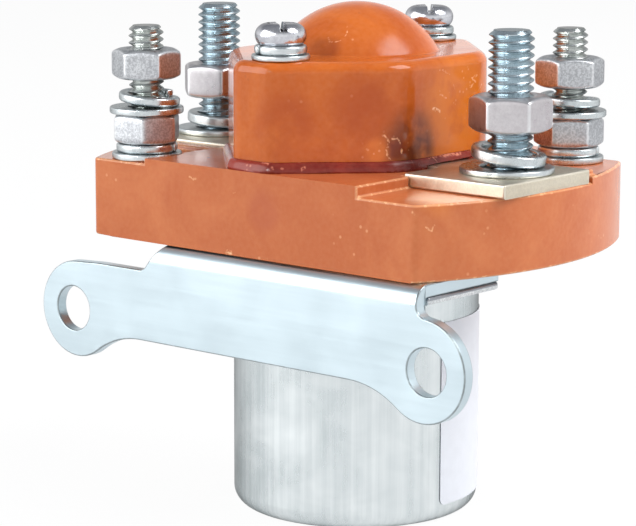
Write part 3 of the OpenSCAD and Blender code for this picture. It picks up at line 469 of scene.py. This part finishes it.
FINISHES = {
    # The base's rim is a painted highlight on its edges, with chips of wear
    "base": resin("orange_base_resin", srgb(206, 116, 68), srgb(194, 102, 56), srgb(248, 190, 140),
                  ORANGE_DARK, 0.4, 0.14, 0.24, stains_and_painted_light=BASE_STAINS, scratches=BASE_SCRATCHES, rim=0.8),
    "cover": resin("orange_cover_resin", srgb(206, 104, 34), srgb(188, 86, 24), srgb(250, 190, 140),
                   ORANGE_DARK, 0.25, 0.08, 0.14, COVER_MARKS, COVER_STAINS_AND_PAINTED_LIGHT, COVER_SCRATCHES,
                   softer_above=SOFT_LINE),
    # The bracket's dark grey rim is a painted reflection of dark surroundings on its rounded edges
    "bracket": plated("bracket_zinc", srgb(216, 232, 239), srgb(210, 226, 233), grain=(0.05, 1, 1),
                      smooth=0.30, dull=0.40, rim=faded(srgb(140, 148, 150), 0.9), edge=1.0),
    "flux": plated("flux_plate_zinc", srgb(248, 250, 251), srgb(226, 231, 234), smooth=0.30, dull=0.45,
                   spangle=0.4, edge=1.0, painted_shadow_above=SHADOW_LINE),
    "can": plated("can_plating", srgb(244, 250, 251), srgb(212, 221, 223), grain=(1, 1, 0.02),
                  smooth=0.22, dull=0.36),
    "stud": plated("stud_zinc", srgb(220, 232, 238), srgb(184, 202, 210), smooth=0.20, dull=0.32,
                   spangle=0.12, edge=0.4),
    "coil_stud": plated("coil_stud_zinc", srgb(240, 242, 240), srgb(192, 199, 196), smooth=0.18, dull=0.28,
                        spangle=0.12, edge=0.4),
    # The nut's faint pink is a painted reflection of the orange base, and the bright rims of both nut
    # finishes are painted highlights
    "nut": plated("nut_zinc", srgb(222, 219, 221), srgb(200, 194, 198), smooth=0.24, dull=0.34, spangle=0.1,
                  rim=faded(BRIGHT, 0.7), edge=0.6),
    "coil_nut": plated("coil_nut_zinc", srgb(226, 229, 232), srgb(196, 198, 203), smooth=0.30, dull=0.44,
                       depth=0.02, spangle=0.5, rim=faded(BRIGHT, 0.7), edge=0.6),
    "screw": plated("screw_zinc", srgb(234, 236, 240), srgb(200, 200, 208), smooth=0.16, dull=0.26,
                    spangle=0.1, edge=0.45),
    "washer": plated("washer_zinc", srgb(236, 241, 242), srgb(202, 211, 214), smooth=0.22, dull=0.36,
                     spangle=0.1, edge=0.5),
    # The plates' pale rim is a painted highlight on their rounded edges
    "plate": plated("terminal_tin", srgb(238, 230, 212), srgb(218, 207, 186), grain=(1, 0.1, 1),
                    smooth=0.34, dull=0.50, spangle=0.12, rim=faded(srgb(246, 240, 226), 0.5), edge=0.8),
    "sealant": resin("sealant_red", srgb(146, 46, 32), srgb(112, 32, 24), srgb(222, 140, 112),
                     srgb(50, 16, 12), 0.9, 0.16, 0.30, BEAD_MARKS, BEAD_PAINTED_SHADE, BEAD_CHIPS),
    "label": plain("label_film", srgb(230, 233, 240), roughness=0.35, patchy=0.96, rim=srgb(118, 122, 130)),
    "iron": plain("machined_iron", srgb(150, 152, 154), roughness=0.4, metallic=1.0),
    "bobbin": plain("black_bobbin_plastic", srgb(44, 44, 46)),
    "wire": plain("enamelled_copper", srgb(190, 104, 58), roughness=0.3, metallic=1.0),
    "sleeve": plain("red_lead_sleeve", srgb(160, 40, 34)),
    "brass": plain("turned_brass", srgb(208, 176, 98), roughness=0.28, metallic=1.0),
    "fibre": plain("pressed_fibre", srgb(170, 140, 108), roughness=0.7),
    "silver": plain("contact_silver", srgb(226, 226, 222), roughness=0.2, metallic=1.0),
    "copper": plain("bridge_copper", srgb(206, 136, 96), roughness=0.3, metallic=1.0),
    "spring": plain("spring_steel", srgb(180, 184, 188), roughness=0.3, metallic=1.0),
    "clip": plain("oiled_clip_steel", srgb(110, 113, 118), roughness=0.35, metallic=1.0),
}

FINISH_OF = {
    "can": "can", "flux_plate": "flux", "can_label": "label", "pole_piece": "iron",
    "coil_bobbin": "bobbin", "coil_winding": "wire", "coil_leads": "sleeve", "plunger": "iron",
    "plunger_rod": "brass", "guide_bush": "brass", "stop_washer": "fibre", "return_spring": "spring",
    "mounting_bracket": "bracket", "bracket_screws": "washer", "base": "base",
    "screw_inserts": "brass", "sealant_bead": "sealant", "cover": "cover",
    "terminal_plate_right": "plate", "terminal_plate_left": "plate", "fixed_contacts": "silver",
    "contact_bridge": "copper", "moving_contacts": "silver", "contact_spring": "spring",
    "spring_seat": "washer", "rod_clips": "clip", "main_stud_right": "stud",
    "main_stud_left": "stud", "main_flat_washers": "washer", "main_spring_washers": "washer",
    "main_nuts": "nut", "coil_stud_front": "coil_stud", "coil_stud_back": "coil_stud",
    "lower_flat_washers": "washer", "lower_spring_washers": "washer", "lower_nuts": "coil_nut",
    "upper_flat_washers": "washer", "upper_spring_washers": "washer", "upper_nuts": "coil_nut",
    "cover_screws": "screw", "cover_spring_washers": "washer", "cover_flat_washers": "washer",
}


# Geometry Nodes for threads and nuts

# Points closer than this are joined where a wrapped sheet meets itself
SEAM = 0.001 * MM
# The 5/16-18 main studs and the 1/4-20 coil studs, the heights of their heads and the bores of their nuts
MAIN_RADIUS, COIL_RADIUS = 3.97 * MM, 3.175 * MM
MAIN_THREAD = {"Pitch": 25.4 / 18 * MM, "Root": 3.12 * MM}
COIL_THREAD = {"Pitch": 25.4 / 20 * MM, "Root": 2.42 * MM}
MAIN_HEAD, COIL_HEAD = 5 * MM, 4 * MM
MAIN_BORE, COIL_BORE = 3.55 * MM, 2.8 * MM


def stand(t, shape):
    """Ends a tree: its shape turned about the upright axis, set in its place and given its finish."""
    spot = t.node("GeometryNodeInputPosition").outputs[0]
    turned = t.node("ShaderNodeVectorRotate", {"Vector": spot, "Angle": t.given["Turn"]},
                    rotation_type="Z_AXIS").outputs[0]
    moved = t.vector("ADD", turned, t.given["Place"])
    shape = t.node("GeometryNodeSetPosition", {"Geometry": shape, "Position": moved}).outputs[0]
    shape = t.node("GeometryNodeMergeByDistance", {"Geometry": shape, "Distance": SEAM}).outputs[0]
    shape = t.node("GeometryNodeRealizeInstances", {"Geometry": shape}).outputs[0]
    shape = t.node("GeometryNodeSetMaterial", {"Geometry": shape, "Material": t.given["Finish"]}).outputs[0]
    t.put(shape, t.result["Geometry"])
    return t.tree


def sheet_of(t, columns, rows):
    """A flat sheet to be wrapped: the sheet, and each point's share of the way across and up."""
    grid = t.node("GeometryNodeMeshGrid", {"Size X": 1.0, "Size Y": 1.0,
                                           "Vertices X": t.math("ADD", columns, 1.0),
                                           "Vertices Y": t.math("ADD", rows, 1.0)})
    spot = t.split(t.node("GeometryNodeInputPosition").outputs[0])
    return grid.outputs["Mesh"], t.math("ADD", spot["X"], 0.5), t.math("ADD", spot["Y"], 0.5)


def wrapped(t, sheet, angle, radius, height):
    """The sheet laid round the upright axis."""
    spot = t.join(t.math("MULTIPLY", t.math("COSINE", angle), radius),
                  t.math("MULTIPLY", t.math("SINE", angle), radius), height)
    return t.node("GeometryNodeSetPosition", {"Geometry": sheet, "Position": spot}).outputs[0]


def thread_tree():
    """A right-hand thread that follows the helix, run out at its foot and chamfered at its tip."""
    flat, end_inset = 0.12, 0.03 * MM
    t = group("stud thread", "GeometryNodeTree",
              {"Outer": (FLOAT, 4 * MM), "Root": (FLOAT, 3.1 * MM), "Pitch": (FLOAT, 1.4 * MM),
               "Low": (FLOAT, 0.0), "High": (FLOAT, 20 * MM), "Turn": (FLOAT, 0.0),
               "Place": (VECTOR, None), "Columns": (WHOLE, 48), "Rows": (WHOLE, 10),
               "Finish": (MATERIAL, None)}, {"Geometry": GEOMETRY})
    g = t.given
    length = t.math("SUBTRACT", g["High"], g["Low"])
    turns = t.math("ADD", t.math("CEIL", t.math("DIVIDE", length, g["Pitch"])), 2.0)
    rows = t.math("MULTIPLY", turns, g["Rows"])
    sheet, across, up = sheet_of(t, g["Columns"], rows)
    lap = t.math("DIVIDE", t.math("ROUND", t.math("MULTIPLY", up, rows)), g["Rows"])
    climb = t.math("SUBTRACT", t.math("ADD", lap, across), 1.0)
    height = t.math("MULTIPLY_ADD", climb, g["Pitch"], g["Low"])
    height = t.math("MINIMUM", t.math("MAXIMUM", height, g["Low"]), g["High"])
    crest = t.math("ABSOLUTE", t.math("MULTIPLY_ADD", t.math("FRACT", lap), 2.0, -1.0))
    groove = t.span(crest, flat, 1 - flat, g["Root"], g["Outer"])
    end = t.math("SUBTRACT", g["Root"], end_inset)
    tip = t.math("ADD", end, t.math("SUBTRACT", g["High"], height))
    foot = t.math("ADD", end, t.math("SUBTRACT", height, g["Low"]))
    radius = t.math("MINIMUM", groove, t.math("MINIMUM", tip, foot))
    thread = wrapped(t, sheet, t.math("MULTIPLY", across, math.tau), radius, height)
    disc = t.node("GeometryNodeMeshCircle", {"Vertices": g["Columns"], "Radius": end}, fill_type="NGON")
    top = t.node("GeometryNodeTransform", {"Geometry": disc.outputs[0],
                                           "Translation": t.join(0.0, 0.0, g["High"])}).outputs[0]
    bottom = t.node("GeometryNodeTransform", {"Geometry": disc.outputs[0],
                                              "Translation": t.join(0.0, 0.0, g["Low"])}).outputs[0]
    bottom = t.node("GeometryNodeFlipFaces", {"Mesh": bottom}).outputs[0]
    whole = t.node("GeometryNodeJoinGeometry")
    for part in (thread, top, bottom):
        t.put(part, whole.inputs[0])
    return stand(t, whole.outputs[0])


def nut_tree():
    """A hexagonal nut with rounded corners and rims, coned faces and a countersunk bore.

    The sheet runs round the nut and round its section. A power of the sine and cosine squares the
    section, and the columns are crowded towards the nut's corners.
    """
    corner_share, cone_share, crowding, squareness, nudge = 1.145, 0.955, 0.11, 0.34, 1e-5
    corner_round, cone_round, countersink = 0.4 * MM, 0.7 * MM, 0.5 * MM
    t = group("hexagonal nut", "GeometryNodeTree",
              {"Flats": (FLOAT, 12.7 * MM), "Height": (FLOAT, 6 * MM), "Bore": (FLOAT, 3.6 * MM),
               "Turn": (FLOAT, 0.0), "Place": (VECTOR, None), "Columns": (WHOLE, 120), "Rows": (WHOLE, 56),
               "Finish": (MATERIAL, None)}, {"Geometry": GEOMETRY})
    g = t.given
    sheet, across, up = sheet_of(t, g["Columns"], g["Rows"])
    sixth = t.math("MULTIPLY", across, 6.0)
    nudged = t.math("ADD", sixth, nudge)
    share = t.math("FRACT", nudged)
    crowded = t.math("MULTIPLY", t.math("SINE", t.math("MULTIPLY", share, math.tau)), crowding)
    share = t.math("SUBTRACT", share, crowded)
    angle = t.math("MULTIPLY", t.math("ADD", t.math("FLOOR", nudged), share), math.tau / 6)
    half = t.math("MULTIPLY", g["Flats"], 0.5)
    from_flat = t.math("COSINE", t.math("MULTIPLY_ADD", share, math.tau / 6, -math.tau / 12))
    side = t.math("DIVIDE", half, from_flat)
    side = t.math("SMOOTH_MIN", side, t.math("MULTIPLY", half, corner_share), corner_round)
    round_the_section = t.math("MULTIPLY", up, math.tau)
    reach = []
    for way in ("COSINE", "SINE"):
        wave = t.math(way, round_the_section)
        squared = t.math("POWER", t.math("ABSOLUTE", wave), squareness)
        reach.append(t.math("MULTIPLY", t.math("SIGN", wave), squared))
    tall = t.math("MULTIPLY", g["Height"], 0.5)
    height = t.math("MULTIPLY_ADD", reach[1], tall, tall)
    depth = t.math("MINIMUM", height, t.math("SUBTRACT", g["Height"], height))
    cone = t.math("MULTIPLY_ADD", depth, math.sqrt(3), t.math("MULTIPLY", half, cone_share))
    outer = t.math("SMOOTH_MIN", side, cone, cone_round)
    sink = t.math("MAXIMUM", t.math("SUBTRACT", countersink, depth), 0.0)
    bore = t.math("ADD", g["Bore"], sink)
    middle = t.math("MULTIPLY", t.math("ADD", outer, bore), 0.5)
    width = t.math("MULTIPLY", t.math("SUBTRACT", outer, bore), 0.5)
    radius = t.math("MULTIPLY_ADD", reach[0], width, middle)
    # Where the nut finishes paint their rim highlight: the rounded rims by the coned faces and at the
    # corners, on the outer side
    at_cone = t.span(t.math("ABSOLUTE", t.math("SUBTRACT", side, cone)), 0.1 * MM, 0.5 * MM, 1.0, 0.0)
    at_corner = t.span(side, t.math("MULTIPLY", half, corner_share - 0.03),
                       t.math("MULTIPLY", half, corner_share - 0.01))
    rim = t.math("MULTIPLY", t.math("MAXIMUM", at_cone, at_corner), t.span(reach[0], 0.5, 0.9))
    sheet = t.node("GeometryNodeStoreNamedAttribute", {"Geometry": sheet, "Name": "rim", "Value": rim},
                   data_type="FLOAT", domain="POINT").outputs[0]
    return stand(t, wrapped(t, sheet, angle, radius, height))


THREAD, NUT = thread_tree(), nut_tree()


def grown(tree, finish, **sizes):
    """The mesh that a Geometry Nodes tree makes from the given sizes."""
    holder = bpy.data.objects.new("holder", bpy.data.meshes.new("holder"))
    bpy.context.scene.collection.objects.link(holder)
    modifier = holder.modifiers.new("grown", "NODES")
    modifier.node_group = tree
    sizes["Finish"] = FINISHES[finish]
    for item in tree.interface.items_tree:
        if item.in_out == "INPUT" and item.name in sizes:
            modifier[item.identifier] = sizes[item.name]
    return evaluated(holder)


# Meshes. Distances are in millimetres, angles in degrees.

# Points closer than this are one point
DOUBLES = 0.03
# Under the first angle two faces are one flat face, over the second the edge between them is rounded
FLAT_ANGLE, EDGE_ANGLE = 0.2, 28
# Shading breaks at an edge over this angle
CREASE = 32
# An edge is rounded where every edge beside it is longer than this many widths, and the cosine of the
# angle between the two is less than the second value
ROOM, SAME_WAY = 1.2, 0.85
# A point further than this from the solid's surface is put back on it
STRAY = 0.2


def evaluated(holder):
    """An object's mesh with its modifiers applied. The object is then removed."""
    bpy.context.view_layer.update()
    made = bpy.data.meshes.new_from_object(holder.evaluated_get(bpy.context.evaluated_depsgraph_get()))
    bpy.data.objects.remove(holder)
    return made


def finished(mesh, *modifiers):
    """A mesh with modifiers applied. Each modifier is its type and its settings."""
    holder = bpy.data.objects.new("holder", mesh)
    bpy.context.scene.collection.objects.link(holder)
    for kind, settings in modifiers:
        modifier = holder.modifiers.new(kind, kind)
        for name, value in settings.items():
            setattr(modifier, name, value)
    return evaluated(holder)


def mesh_of(shape, name):
    """A shape written to a new mesh. The shape is then freed."""
    mesh = bpy.data.meshes.new(name)
    shape.to_mesh(mesh)
    shape.free()
    return mesh


def joined(meshes):
    """Several meshes as one."""
    shape = bmesh.new()
    for mesh in meshes:
        shape.from_mesh(mesh)
    return mesh_of(shape, "joined")


def whole_shape(node):
    """A CAD node's shape with its doubles merged and its flat faces made whole again."""
    shape = bmesh.new()
    shape.from_mesh(NODES[node].data)
    bmesh.ops.remove_doubles(shape, verts=shape.verts, dist=DOUBLES * MM)
    flat = math.radians(FLAT_ANGLE)
    bmesh.ops.dissolve_limit(shape, angle_limit=flat, verts=shape.verts, edges=shape.edges)
    return shape


def show(name, mesh, finish, node, sharp=CREASE):
    """Puts a finished mesh in the scene in place of a CAD node, on the same body."""
    mesh.materials.clear()
    mesh.materials.append(FINISHES[finish])
    mesh.shade_smooth()
    mesh.set_sharp_from_angle(angle=math.radians(sharp))
    mesh = finished(mesh, ("WEIGHTED_NORMAL", {"keep_sharp": True, "weight": 80}))
    piece = bpy.data.objects.new(name, mesh)
    bpy.context.scene.collection.objects.link(piece)
    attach(piece, NODES[node]["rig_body"])
    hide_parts(node)
    return piece


def way_of(edge):
    """The direction of an edge."""
    return (edge.verts[1].co - edge.verts[0].co).normalized()


def roomy_edges(shape, width):
    """The sharp edges whose neighbours are long enough, and turned far enough away, to be cut back."""
    limit = math.radians(EDGE_ANGLE)
    sharp = {e for e in shape.edges if len(e.link_faces) == 2 and e.calc_face_angle(0) > limit}
    for edge in sharp:
        along = way_of(edge)
        beside = [e for vert in edge.verts for e in vert.link_edges if e not in sharp]
        if all(e.calc_length() > ROOM * width * MM and abs(way_of(e).dot(along)) < SAME_WAY for e in beside):
            yield edge


def rounded(shape, width, segments=3):
    """A shape's mesh with its sharp edges rounded where there is room, and its rims marked.

    A point that the bevel leaves off the shape goes back to its surface, and all stay in its box.
    """
    weight = shape.edges.layers.float.new("bevel_weight_edge")
    for edge in list(roomy_edges(shape, width)):
        edge[weight] = 1.0
    surface = BVHTree.FromBMesh(shape)
    low = [min(vert.co[way] for vert in shape.verts) for way in range(3)]
    high = [max(vert.co[way] for vert in shape.verts) for way in range(3)]
    mesh = mesh_of(shape, "rounded")
    for _ in range(2):
        mesh.materials.append(None)
    mesh = finished(mesh, ("BEVEL", {"width": width * MM, "segments": segments, "limit_method": "WEIGHT",
                                     "material": 1, "use_clamp_overlap": False}))
    for vert in mesh.vertices:
        nearest, _, _, away = surface.find_nearest(vert.co)
        if away > STRAY * MM:
            vert.co = nearest
        vert.co = [min(max(c, least), most) for c, least, most in zip(vert.co, low, high)]
    mark_rims(mesh)
    return mesh


def mark_rims(mesh, shared=0.3):
    """Writes how far each corner belongs to an edge, from the faces with the second material."""
    outer = {vert for p in mesh.polygons if p.material_index != 1 for vert in p.vertices}
    rim = mesh.attributes.new("rim", "FLOAT", "CORNER")
    for polygon in mesh.polygons:
        for loop, vert in zip(polygon.loop_indices, polygon.vertices):
            rim.data[loop].value = (shared if vert in outer else 1.0) if polygon.material_index == 1 else 0.0
        polygon.material_index = 0


def rounded_copy(node, width, segments=3):
    """A CAD node shown with its sharp edges rounded."""
    show(node + "_rounded", rounded(whole_shape(node), width, segments), FINISH_OF[node], node)


# Pieces. Distances are in millimetres.

# How far the edges of each piece are rounded
EDGE_WIDTHS = {
    "base": 0.4, "cover": 0.35, "mounting_bracket": 0.28, "flux_plate": 0.5,
    "terminal_plate_right": 0.4, "terminal_plate_left": 0.4,
    "main_flat_washers": 0.3, "lower_flat_washers": 0.3,
    "upper_flat_washers": 0.3, "cover_flat_washers": 0.3,
    "main_spring_washers": 0.5, "lower_spring_washers": 0.5,
    "upper_spring_washers": 0.5, "cover_spring_washers": 0.5,
}
SCREW_EDGE, HEAD_EDGE = 0.08, 0.35
# The shank left on a stud's head, so that the cut stays clear of the head's face
SHANK_STUB = 0.05
MAIN_STUDS = ("main_stud_right", "main_stud_left")
COIL_STUDS = ("coil_stud_front", "coil_stud_back")
# Longer edges of the bead are cut up for its lumps, and its foot stays flat
BEAD_STEP, BEAD_FOOT = 0.9, 0.05
# The label's corner radius, and the limits by which the short edges at its corners are known
LABEL_CORNER, THIN, LEVEL = 1.2, 0.2, 0.01


def axis_of(stud):
    """The place of a stud's axis, from its box."""
    low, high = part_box(stud)
    return Vector(((low[0] + high[0]) / 2, (low[1] + high[1]) / 2, 0))


def threaded_stud(node, radius, thread, head):
    """A stud: its hexagonal head kept from the CAD node, its shank threaded."""
    low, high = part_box(node)
    shape = whole_shape(node)
    cut = low[2] + head + SHANK_STUB * MM
    bmesh.ops.bisect_plane(shape, geom=shape.verts[:] + shape.edges[:] + shape.faces[:], dist=1e-7,
                           plane_co=(0, 0, cut), plane_no=(0, 0, 1), clear_outer=True)
    bmesh.ops.holes_fill(shape, edges=[e for e in shape.edges if e.is_boundary], sides=0)
    hexagon = rounded(shape, HEAD_EDGE)
    screw = grown(THREAD, FINISH_OF[node], Outer=radius, Low=low[2] + head, High=high[2],
                  Place=axis_of(node), **thread)
    show(node + "_threaded", joined([hexagon, screw]), FINISH_OF[node], node, sharp=44)


def nut_near(node, stud, bore):
    """A rounded nut in the place, size and turn of the solid nut that is round a stud."""
    axis = axis_of(stud)
    points = [v.co for v in NODES[node].data.vertices if v.co.x * axis.x > 0]
    low, high = min(p.z for p in points), max(p.z for p in points)
    corner = max((Vector((p.x, p.y, 0)) - axis for p in points), key=lambda way: way.length)
    return grown(NUT, FINISH_OF[node], Flats=corner.length * math.sqrt(3), Height=high - low, Bore=bore,
                 Turn=math.atan2(corner.y, corner.x), Place=axis + Vector((0, 0, low)))


def nut_pair(node, studs, bore):
    """The two nuts of one node."""
    pair = joined([nut_near(node, stud, bore) for stud in studs])
    show(node + "_rounded", pair, FINISH_OF[node], node, sharp=60)


def uneven_bead():
    """The sealant laid by hand: the bead with small lumps and waves."""
    shape = whole_shape("sealant_bead")
    bmesh.ops.triangulate(shape, faces=shape.faces[:])
    long = [e for e in shape.edges if e.calc_length() > BEAD_STEP * MM]
    bmesh.ops.subdivide_edges(shape, edges=long, cuts=2, use_grid_fill=True)
    shape.normal_update()
    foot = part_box("sealant_bead")[0][2]
    for vert in shape.verts:
        if vert.co.z > foot + BEAD_FOOT * MM:
            lump = noise.noise(vert.co * 260) * 0.16 + noise.noise(vert.co * 90) * 0.14
            vert.co += vert.normal * lump * MM
    show("sealant_bead_uneven", mesh_of(shape, "sealant_bead"), "sealant", "sealant_bead", sharp=50)


def cut_label():
    """The bare label with rounded corners."""
    shape = whole_shape("can_label")
    low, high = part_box("can_label")
    corners = []
    for edge in shape.edges:
        ends = [vert.co.z for vert in edge.verts]
        at_rim = min(abs(ends[0] - z) for z in (low[2], high[2])) < LEVEL * MM
        if edge.calc_length() < THIN * MM and at_rim and abs(ends[0] - ends[1]) < LEVEL * MM:
            corners.append(edge)
    bmesh.ops.bevel(shape, geom=corners, offset=LABEL_CORNER * MM, segments=5, affect="EDGES", profile=0.5)
    mesh = mesh_of(shape, "can_label")
    for polygon in mesh.polygons:
        outward = Vector((polygon.center.x, polygon.center.y, 0)).normalized()
        polygon.material_index = int(abs(polygon.normal.dot(outward)) < 0.5)
    mark_rims(mesh, shared=1.0)
    show("can_label_cut", mesh, "label", "can_label")


def pressed_spring(node):
    """A joint's spring shown from its whole shape, on a mesh of its own."""
    spring = show(node + "_pressed", mesh_of(whole_shape(node), node), FINISH_OF[node], node)
    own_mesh(spring)


for node, finish in FINISH_OF.items():
    mesh = NODES[node].data
    mesh.materials.clear()
    mesh.materials.append(FINISHES[finish])
    mesh.shade_smooth()
    mesh.set_sharp_from_angle(angle=math.radians(CREASE))

for node, width in EDGE_WIDTHS.items():
    rounded_copy(node, width)
rounded_copy("cover_screws", SCREW_EDGE, segments=2)
for node in MAIN_STUDS:
    threaded_stud(node, MAIN_RADIUS, MAIN_THREAD, MAIN_HEAD)
for node in COIL_STUDS:
    threaded_stud(node, COIL_RADIUS, COIL_THREAD, COIL_HEAD)
nut_pair("main_nuts", MAIN_STUDS, MAIN_BORE)
nut_pair("lower_nuts", COIL_STUDS, COIL_BORE)
nut_pair("upper_nuts", COIL_STUDS, COIL_BORE)
uneven_bead()
cut_label()
for joint in frame["joints"]:
    for spring in joint["deforming_nodes"]:
        pressed_spring(spring["node"])


# Stage, lights and camera

FLOOR_HALF = 12
WORLD_STRENGTH = 0.55
LAMP_AIM, LAMP_DISTANCE = Vector((0, 0, 0.07)), 1.0
# The camera as it was solved from the photo's outlines, in metres, degrees and pixels
CAMERA_PLACE = (0.30687, -0.37120, 0.132526)
CAMERA_TURN, CAMERA_TILT, CAMERA_ROLL = 40.415, -10.368, 0.157
FOCAL_PX, PHOTO_WIDTH_PX = 2681.3, 636
SENSOR_MM = 36


def backdrop():
    """A pale floor that runs to the edge of every view."""
    mesh = bpy.data.meshes.new("floor")
    corners = [(x * FLOOR_HALF, y * FLOOR_HALF, 0) for x, y in ((-1, -1), (1, -1), (1, 1), (-1, 1))]
    mesh.from_pydata(corners, [], [(0, 1, 2, 3)])
    floor = bpy.data.objects.new("floor", mesh)
    bpy.context.scene.collection.objects.link(floor)
    t = material("floor_paper", Roughness=0.9)
    rays = t.node("ShaderNodeLightPath").outputs
    paper = t.mix(rays["Is Camera Ray"], (0.50, 0.50, 0.51, 1), (0.95, 0.95, 0.95, 1))
    t.put(paper, t.shader.inputs["Base Color"])
    mirrored = t.math("MAXIMUM", rays["Is Glossy Ray"], rays["Is Transmission Ray"])
    shown = t.math("MULTIPLY", rays["Is Camera Ray"], 0.93)
    seen = t.math("MAXIMUM", shown, t.math("MULTIPLY", mirrored, 0.6))
    white = t.node("ShaderNodeEmission", {"Color": (1, 1, 1, 1), "Strength": 1.0})
    mixed = t.node("ShaderNodeMixShader", {0: seen, 1: t.shader.outputs[0], 2: white.outputs[0]})
    out = next(n for n in t.tree.nodes if n.type == "OUTPUT_MATERIAL")
    t.put(mixed.outputs[0], out.inputs["Surface"])
    mesh.materials.append(t.material)


def world_light():
    """White for the camera, a bright horizon under a grey ceiling for reflections, soft grey as light."""
    world = bpy.data.worlds.new("studio")
    bpy.context.scene.world = world
    world.use_nodes = True
    world.node_tree.nodes.clear()
    t = Tree(world.node_tree)
    way = t.node("ShaderNodeTexCoord").outputs["Generated"]
    height = t.split(way)["Z"]
    rays = t.node("ShaderNodeLightPath").outputs
    room = t.mix(t.span(height, -0.1, 0.6), (1, 1, 1, 1), (0.62, 0.64, 0.67, 1))
    lit = t.node("ShaderNodeBackground", {"Color": room, "Strength": WORLD_STRENGTH}).outputs[0]
    studio = t.mix(t.span(height, 0.20, 0.62), (1, 1, 1, 1), (0.30, 0.31, 0.33, 1))
    mirrored = t.node("ShaderNodeBackground", {"Color": studio, "Strength": 1.0}).outputs[0]
    white = t.node("ShaderNodeBackground", {"Color": (1, 1, 1, 1), "Strength": 1.0}).outputs[0]
    glossy = t.math("MAXIMUM", rays["Is Glossy Ray"], rays["Is Transmission Ray"])
    mixed = t.node("ShaderNodeMixShader", {0: glossy, 1: lit, 2: mirrored}).outputs[0]
    mixed = t.node("ShaderNodeMixShader", {0: rays["Is Camera Ray"], 1: mixed, 2: white}).outputs[0]
    t.node("ShaderNodeOutputWorld", {"Surface": mixed})


def softbox(name, azimuth, elevation, size, power, mirrored=True):
    """A soft lamp aimed at the object from a direction in degrees. It may be left out of reflections."""
    lamp = bpy.data.lights.new(name, "AREA")
    lamp.shape = "RECTANGLE"
    lamp.size, lamp.size_y = size
    lamp.energy = power
    light = bpy.data.objects.new(name, lamp)
    light.visible_glossy = mirrored
    turn, lift = math.radians(azimuth), math.radians(elevation)
    way = Vector((math.cos(turn) * math.cos(lift), math.sin(turn) * math.cos(lift), math.sin(lift)))
    light.location = LAMP_AIM + way * LAMP_DISTANCE
    light.rotation_euler = way.to_track_quat("Z", "Y").to_euler()
    bpy.context.scene.collection.objects.link(light)


def photo_camera():
    """The camera that took the picture: turned from +Y towards -X, tilted up, then rolled."""
    turn, tilt, roll = (math.radians(v) for v in (CAMERA_TURN, CAMERA_TILT, CAMERA_ROLL))
    ahead = Vector((-math.sin(turn) * math.cos(tilt), math.cos(turn) * math.cos(tilt), math.sin(tilt)))
    level = Vector((math.cos(turn), math.sin(turn), 0))
    above = level.cross(ahead)
    right = level * math.cos(roll) + above * math.sin(roll)
    up = above * math.cos(roll) - level * math.sin(roll)
    data = bpy.data.cameras.new("camera")
    data.sensor_width = SENSOR_MM
    data.lens = FOCAL_PX * SENSOR_MM / PHOTO_WIDTH_PX
    data.clip_start, data.clip_end = 0.01, 100
    camera = bpy.data.objects.new("camera", data)
    axes = Matrix((right, up, -ahead)).transposed().to_4x4()
    camera.matrix_world = Matrix.Translation(CAMERA_PLACE) @ axes
    bpy.context.scene.collection.objects.link(camera)
    bpy.context.scene.camera = camera


backdrop()
world_light()
softbox("right lamp", 25, 47, (0.55, 0.55), 5.4)
softbox("right fill", 75, 12, (0.8, 0.8), 6, mirrored=False)
softbox("right glow", 15, 30, (0.8, 0.8), 3.2, mirrored=False)
softbox("top fill", -40, 80, (0.8, 0.8), 1.4, mirrored=False)
softbox("left lamp", -85, 23, (0.14, 0.18), 1.8)
softbox("left fill", -125, 20, (0.8, 0.8), 5.6)
photo_camera()
bpy.context.scene.view_settings.view_transform = "Standard"
